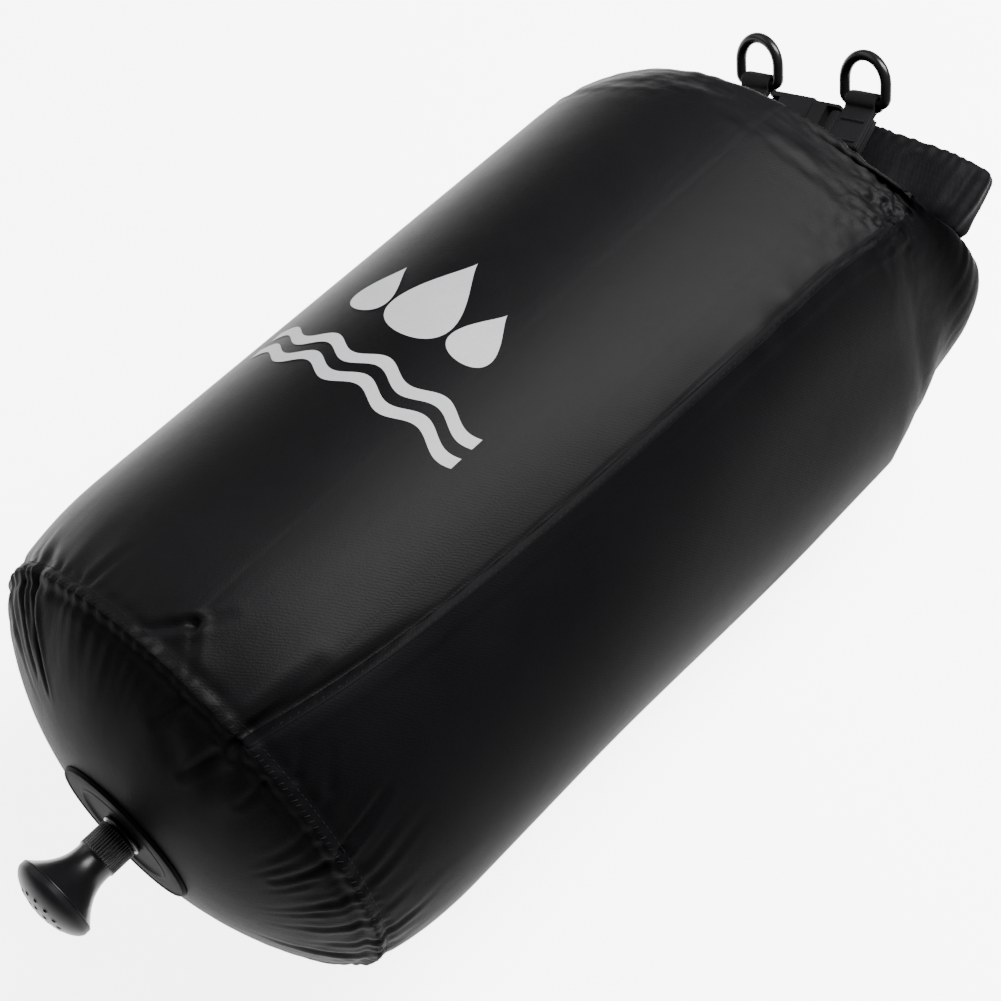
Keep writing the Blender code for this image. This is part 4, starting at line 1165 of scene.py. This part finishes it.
def roll_section(path_length, seed):
    """Sections of the rolled fabric: rounded edges, a flap's edge, crimps and soft creases."""
    turn = math.tau * np.arange(ROLL_SIDES) / ROLL_SIDES
    across = np.sign(np.cos(turn)) * np.abs(np.cos(turn)) ** 0.42 * ROLL_HEIGHT / 2
    out = np.sign(np.sin(turn)) * np.abs(np.sin(turn)) ** 0.75 * ROLL_THICKNESS / 2
    s = np.asarray(path_length)[:, None]
    across, out = across + 0.0 * s, out + 0.0 * s
    face = np.sign(out)
    top = smoothstep(0.007, 0.0125, across)
    crimp = np.sin(s * math.tau / 0.0046 + 4.5 * wave_noise(s, s * 0.0, seed, 0.03, 3))
    across = across + 0.00012 * top * crimp
    out = out + 0.00030 * top * crimp * face
    lap = 1.0 - smoothstep(0.0052, 0.0060, across)
    out = out - np.where(face > 0, 0.00060 * lap, 0.0)
    soft = wave_noise(s * 1.0 + across * 0.7, across * 0.9, seed + 1, 0.019, 4)
    out = out + face * 0.00055 * soft * (1 - 0.5 * top)
    across = across + 0.00070 * wave_noise(s, out, seed + 2, 0.032, 3)
    return np.stack([across, out], -1)


def flat_path(points, steps):
    """A path in the closure's x and y, as closure points."""
    path = smooth_path(points, steps)
    return np.concatenate([path, np.zeros((len(path), 1))], axis=1)


def mirrored(points):
    return [(-x, y) for x, y in points]


left_end = (ARM_END[0] + CLASP_X, ARM_END[1])
right_end = (ARM_END[0] - CLASP_X, ARM_END[1])
left_arm = (BACK_POINTS[1:] + FOLD_POINTS + ARM_POINTS + [left_end])[::-1]
main_path = flat_path(left_arm + BACK_POINTS[:1] + mirrored(BACK_POINTS[1:]), 16)
arm_path = flat_path(mirrored([BACK_POINTS[-1]] + FOLD_POINTS + ARM_POINTS + [right_end]), 16)


def inner_bends(path, section):
    """Where the roll turns a corner its inner face buckles into short creases."""
    tangent = np.gradient(path, axis=0)
    tangent /= np.linalg.norm(tangent, axis=1, keepdims=True)
    heading = np.unwrap(np.arctan2(tangent[:, 1], tangent[:, 0]))
    length = path_lengths(path)
    bend = np.abs(np.gradient(heading, length))
    bend = np.convolve(np.pad(bend, 6, mode="edge"), np.ones(13) / 13, mode="valid")
    amount = np.clip(bend / 140.0, 0, 1)[:, None]
    creases = np.sin(length[:, None] * math.tau / 0.0042 + section[:, :, 0] * 160.0)
    section[:, :, 1] += 0.00055 * amount * creases * np.sign(section[:, :, 1])
    return section


def roll_piece(name, path, seed):
    section = inner_bends(path, roll_section(path_lengths(path), seed))
    round_roll = np.linspace(0, 0.068, ROLL_SIDES)
    return sweep(name, to_world(path), OUT_AXIS, section, uv_across=round_roll)


place(roll_piece("roll_skin", main_path, 61), ROLL_CLOTH, "bag", "bag_fabric", "roll_top")


def place_bending(obj, material, slot_name, *nodes):
    """For a piece of the roll's right arm: gives it its material, hides the CAD nodes that it replaces and
    bakes its transform into its mesh, with no body and no bending; slot_name is not used.
    """
    dress(obj, material)
    if nodes:
        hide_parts(*nodes)
    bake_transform(obj)


place_bending(roll_piece("roll_arm_skin", arm_path, 71), ROLL_CLOTH, "bag_fabric", "roll_arm_right")
strip_edge = [(-0.0085, -0.0004), (0.0085, -0.0004), (0.0088, 0.0),
              (0.0085, 0.0004), (-0.0085, 0.0004), (-0.0088, 0.0)]
strip = sweep("stiffener_end_skin", to_world(arm_path[6:-6]), OUT_AXIS, np.array(strip_edge))
place_bending(strip, STIFF_BLACK, "stiffener", "stiffener_end")


def run_stitches(name, path):
    """A row of stitches along a face of the roll."""
    height, depth, pitch, skip = 0.0090, 0.00385, 0.0032, 0.004
    length = path_lengths(path)
    begins = np.arange(skip, length[-1] - skip, pitch)
    tangent = np.gradient(path, axis=0)
    tangent /= np.linalg.norm(tangent, axis=1, keepdims=True)
    outward = np.cross(tangent, np.array((0.0, 0.0, 1.0)))

    def at(distance):
        point = np.stack([np.interp(distance, length, path[:, k]) for k in range(3)], -1)
        out = np.stack([np.interp(distance, length, outward[:, k]) for k in range(3)], -1)
        out /= np.linalg.norm(out, axis=1, keepdims=True)
        return point + out * depth + np.array((0.0, 0.0, height)), out

    start, out = at(begins)
    end, _ = at(begins + pitch * 0.62)
    start, end, normal = to_world(start), to_world(end), out @ CLOSURE_ROT.T
    return stitch_mesh(name, start, end, normal, 0.00020, 0.00016, 0.00025)


place(run_stitches("roll_stitches", main_path), THREAD, "bag", "seam_tape")
place_bending(run_stitches("arm_stitches", arm_path), THREAD, "seam_tape")

# the neck: fabric gathered flat under the roll
rim = skin[-1]
local_rim = (rim - CLOSURE_AT) @ CLOSURE_ROT
neck_turn = np.arctan2(local_rim[:, 1] - THROAT_CENTRE_Y, local_rim[:, 0])
NECK_ROWS = 24
rows = []
for t in np.arange(NECK_ROWS) / (NECK_ROWS - 1):
    target = np.stack([
        0.050 * np.sign(np.cos(neck_turn)) * np.abs(np.cos(neck_turn)) ** 0.9,
        -0.0105 + 0.0040 * np.sin(neck_turn), np.full(len(rim), -0.0136)], -1)
    ring = local_rim * (1 - t) + target * t
    folds = np.sin(neck_turn * 31.0 + 2.0 * np.sin(neck_turn * 5.0)) * math.sin(math.pi * min(t * 1.2, 1.0))
    ring[:, 2] += 0.00055 * folds - 0.0008 * math.sin(math.pi * t)
    rows.append(ring)
neck_grid = to_world(np.array(rows))
neck_height = np.linspace(0, 0.03, NECK_ROWS)[:, None]
neck_uv = np.stack(np.broadcast_arrays(neck_turn[None, :] * 0.04, neck_height), -1)
neck_piece = grid_object("neck_skin", neck_grid, neck_uv, ends=(False, True))
place(neck_piece, ROLL_CLOTH, "bag", "bag_fabric", "throat")


# ---------------------------------------------------------------- webbing
def strap_loop(name, origin, tail_axis, out_axis, width_axis, hole, tail):
    """A strap folded round a bar, its two layers sewn together along the tail."""
    half = WEBBING / 2
    reach = hole + half
    meet = math.asin(min(half / reach, 1.0))
    points = [(tail - (tail - 0.0050) * k / 10, -half) for k in range(11)]
    points += [(reach * math.cos(a), reach * math.sin(a)) for a in np.linspace(-meet, -math.tau + meet, 44)]
    points += [(0.0050 + (tail - 0.0050) * k / 10, half) for k in range(11)]
    flat = np.array(points)
    smooth = flat.copy()
    for _ in range(3):
        smooth[1:-1] = (smooth[:-2] + 2 * smooth[1:-1] + smooth[2:]) / 4
    path = origin + smooth[:, :1] * tail_axis + smooth[:, 1:] * out_axis
    return sweep(name, path, width_axis, strap_section(WEBBING_WIDTH, WEBBING * 0.97))


def bar_tacks(name, origin, tail_axis, out_axis, width_axis, centre):
    """Two close zigzags of thread across a strap."""
    length, lift = 0.008, WEBBING + 0.0001
    t = np.linspace(-0.40, 0.40, 16)
    starts, ends = [], []
    for place_along in (centre - length / 2, centre + length / 2):
        middle = origin + tail_axis * place_along + out_axis * lift
        for a, b in zip(t[:-1], t[1:]):
            starts.append(middle + width_axis * WEBBING_WIDTH * a - tail_axis * 0.0006)
            ends.append(middle + width_axis * WEBBING_WIDTH * b + tail_axis * 0.0006)
    starts, ends = np.array(starts), np.array(ends)
    normals = np.broadcast_to(out_axis, starts.shape)
    return stitch_mesh(name, starts, ends, normals, 0.00018, 0.00018, 0.00025)


for side, name, body in ((1, "left", "bag"), (-1, "right", "plug_half")):
    for prefix, at, tail_axis, width_axis, hole, tail, tack_centre, node in (
        ("", (CLASP_X + side * BAR_X, BUCKLE_Y, BUCKLE_Z),
         side * LEFT_AXIS, OUT_AXIS, 0.0021, 0.017, 0.0105, "webbing_"),
        ("ring_", (CLASP_X + side * RING_BAR_X, RING_Y, RING_BAR_Z),
         -OUT_AXIS, LEFT_AXIS, 0.0023, 0.019, 0.0125, "ring_loop_"),
    ):
        axes = (to_world(at), tail_axis, FRONT_AXIS, width_axis)
        strap = strap_loop(prefix + "strap_" + name, *axes, hole, tail)
        place(strap, STRAP, body, "webbing", node + name)
        place(bar_tacks(prefix + "tack_" + name, *axes, tack_centre), THREAD, body, "webbing")

# ---------------------------------------------------------------- rings
corner = 0.0025
bar_length = 2 * (RING_HALF_WIDTH - corner)
ring_line = []
for centre, radius, start, stop, count in (
    ((RING_HALF_WIDTH - corner, corner), corner, -90.0, 0.0, 12),
    ((0.0, RING_HEIGHT - RING_HALF_WIDTH), RING_HALF_WIDTH, 0.0, 180.0, 60),
    ((corner - RING_HALF_WIDTH, corner), corner, 180.0, 270.0, 12),
):
    for degrees in np.linspace(start, stop, count):
        a = math.radians(degrees)
        ring_line.append((centre[0] + radius * math.cos(a), centre[1] + radius * math.sin(a)))
for k in range(1, 12):
    ring_line.append((corner - RING_HALF_WIDTH + bar_length * k / 12, 0.0))
ring_line = np.array(ring_line)
lean_sine, lean_cosine = math.sin(RING_LEAN), math.cos(RING_LEAN)
local = np.stack([ring_line[:, 0], ring_line[:, 1] * lean_sine, ring_line[:, 1] * lean_cosine], -1)
flat_normal = to_world((0.0, lean_cosine, -lean_sine)) - CLOSURE_AT
wire_turn = math.tau * np.arange(28) / 28
wire = RING_WIRE * np.stack([np.cos(wire_turn), np.sin(wire_turn)], -1)
for side, name, body in ((1, "left", "ring_left"), (-1, "right", "ring_right")):
    pivot = np.array((CLASP_X + side * RING_BAR_X, RING_Y, RING_BAR_Z))
    ring = sweep("ring_skin_" + name, to_world(pivot + local), flat_normal, wire, closed_path=True)
    place(ring, RING_BLACK, body, "ring_plastic", "d_ring_" + name)

# ---------------------------------------------------------------- camera, light and floor
camera_data = bpy.data.cameras.new("camera")
camera_data.lens = 68.22
camera_data.sensor_width = 36.0
camera = link(bpy.data.objects.new("camera", camera_data))
AZIMUTH = math.radians(-47.7811)
ELEVATION = math.radians(58.0044)
CAMERA_AT = (-0.27088, -0.24837, 0.66871)
level = math.cos(ELEVATION)
back = Vector((level * math.sin(AZIMUTH), -level * math.cos(AZIMUTH), math.sin(ELEVATION)))
right = Vector((math.cos(AZIMUTH), math.sin(AZIMUTH), 0.0))
upward = back.cross(right)
turned_to = Matrix((right, upward, back)).transposed().to_4x4()
camera.matrix_world = Matrix.Translation(CAMERA_AT) @ turned_to
bpy.context.scene.camera = camera

bpy.ops.mesh.primitive_plane_add(size=12.0, location=(0.0, 0.0, 0.0))
floor = bpy.context.object
floor.name = "floor"
floor_nodes = Nodes("floor_white")
floor_nodes.finish(Base_Color=(0.35, 0.35, 0.35, 1.0), Roughness=0.9, Specular_IOR_Level=0.1,
                   Emission_Color=(1.0, 1.0, 1.0, 1.0))
# the floor glows round the bag and fades out further off, as a lit paper sweep does
pool = floor_nodes.coordinates("Object")
away = floor_nodes.add("ShaderNodeVectorMath", operation="DISTANCE")
floor_nodes.join(pool, away.inputs[0])
away.inputs[1].default_value = (0.05, 0.08, 0.0)
glow = floor_nodes.add("ShaderNodeMapRange", interpolation_type="SMOOTHSTEP")
for socket, value in zip(("From Min", "From Max", "To Min", "To Max"), (0.42, 0.85, 5.4, 1.2)):
    glow.inputs[socket].default_value = value
floor_nodes.join(away.outputs["Value"], glow.inputs["Value"])
floor_nodes.join(glow.outputs["Result"], floor_nodes.shader.inputs["Emission Strength"])
dress(floor, floor_nodes.material)

world = bpy.data.worlds.new("studio")
world.use_nodes = True
background = world.node_tree.nodes["Background"]
background.inputs["Color"].default_value = (1.0, 1.0, 1.0, 1.0)
background.inputs["Strength"].default_value = 0.15
bpy.context.scene.world = world


def area_light(name, place, target, size, power):
    """A soft box at a place, aimed at a target."""
    data = bpy.data.lights.new(name, "AREA")
    data.shape = "RECTANGLE"
    data.size, data.size_y = size
    data.energy = power
    light = link(bpy.data.objects.new(name, data))
    light.location = place
    direction = Vector(target) - Vector(place)
    light.rotation_euler = direction.to_track_quat("-Z", "Y").to_euler()
    return light


key = area_light("key", (0.78, -0.45, 1.45), (0.78, -0.45, 0.0), (1.5, 0.55), 260.0)
key.rotation_euler = (0.0, 0.0, math.radians(-40.0))
area_light("side", (-0.5, 1.7, 1.1), (0.0, 0.0, 0.09), (1.8, 1.3), 36.0)

FINISHES = {
    "stiffener_strip": STIFF_BLACK, "spigot": SHOWER_BLACK,
    "flange_gasket": SEAL_BLACK, "o_ring": SEAL_BLACK, "valve_seal": SEAL_BLACK, "valve_stem": SHOWER_BLACK,
}
for node in NODES.values():
    if not node.hide_render:
        dress(node, FINISHES.get(node.name, BUCKLE_BLACK))
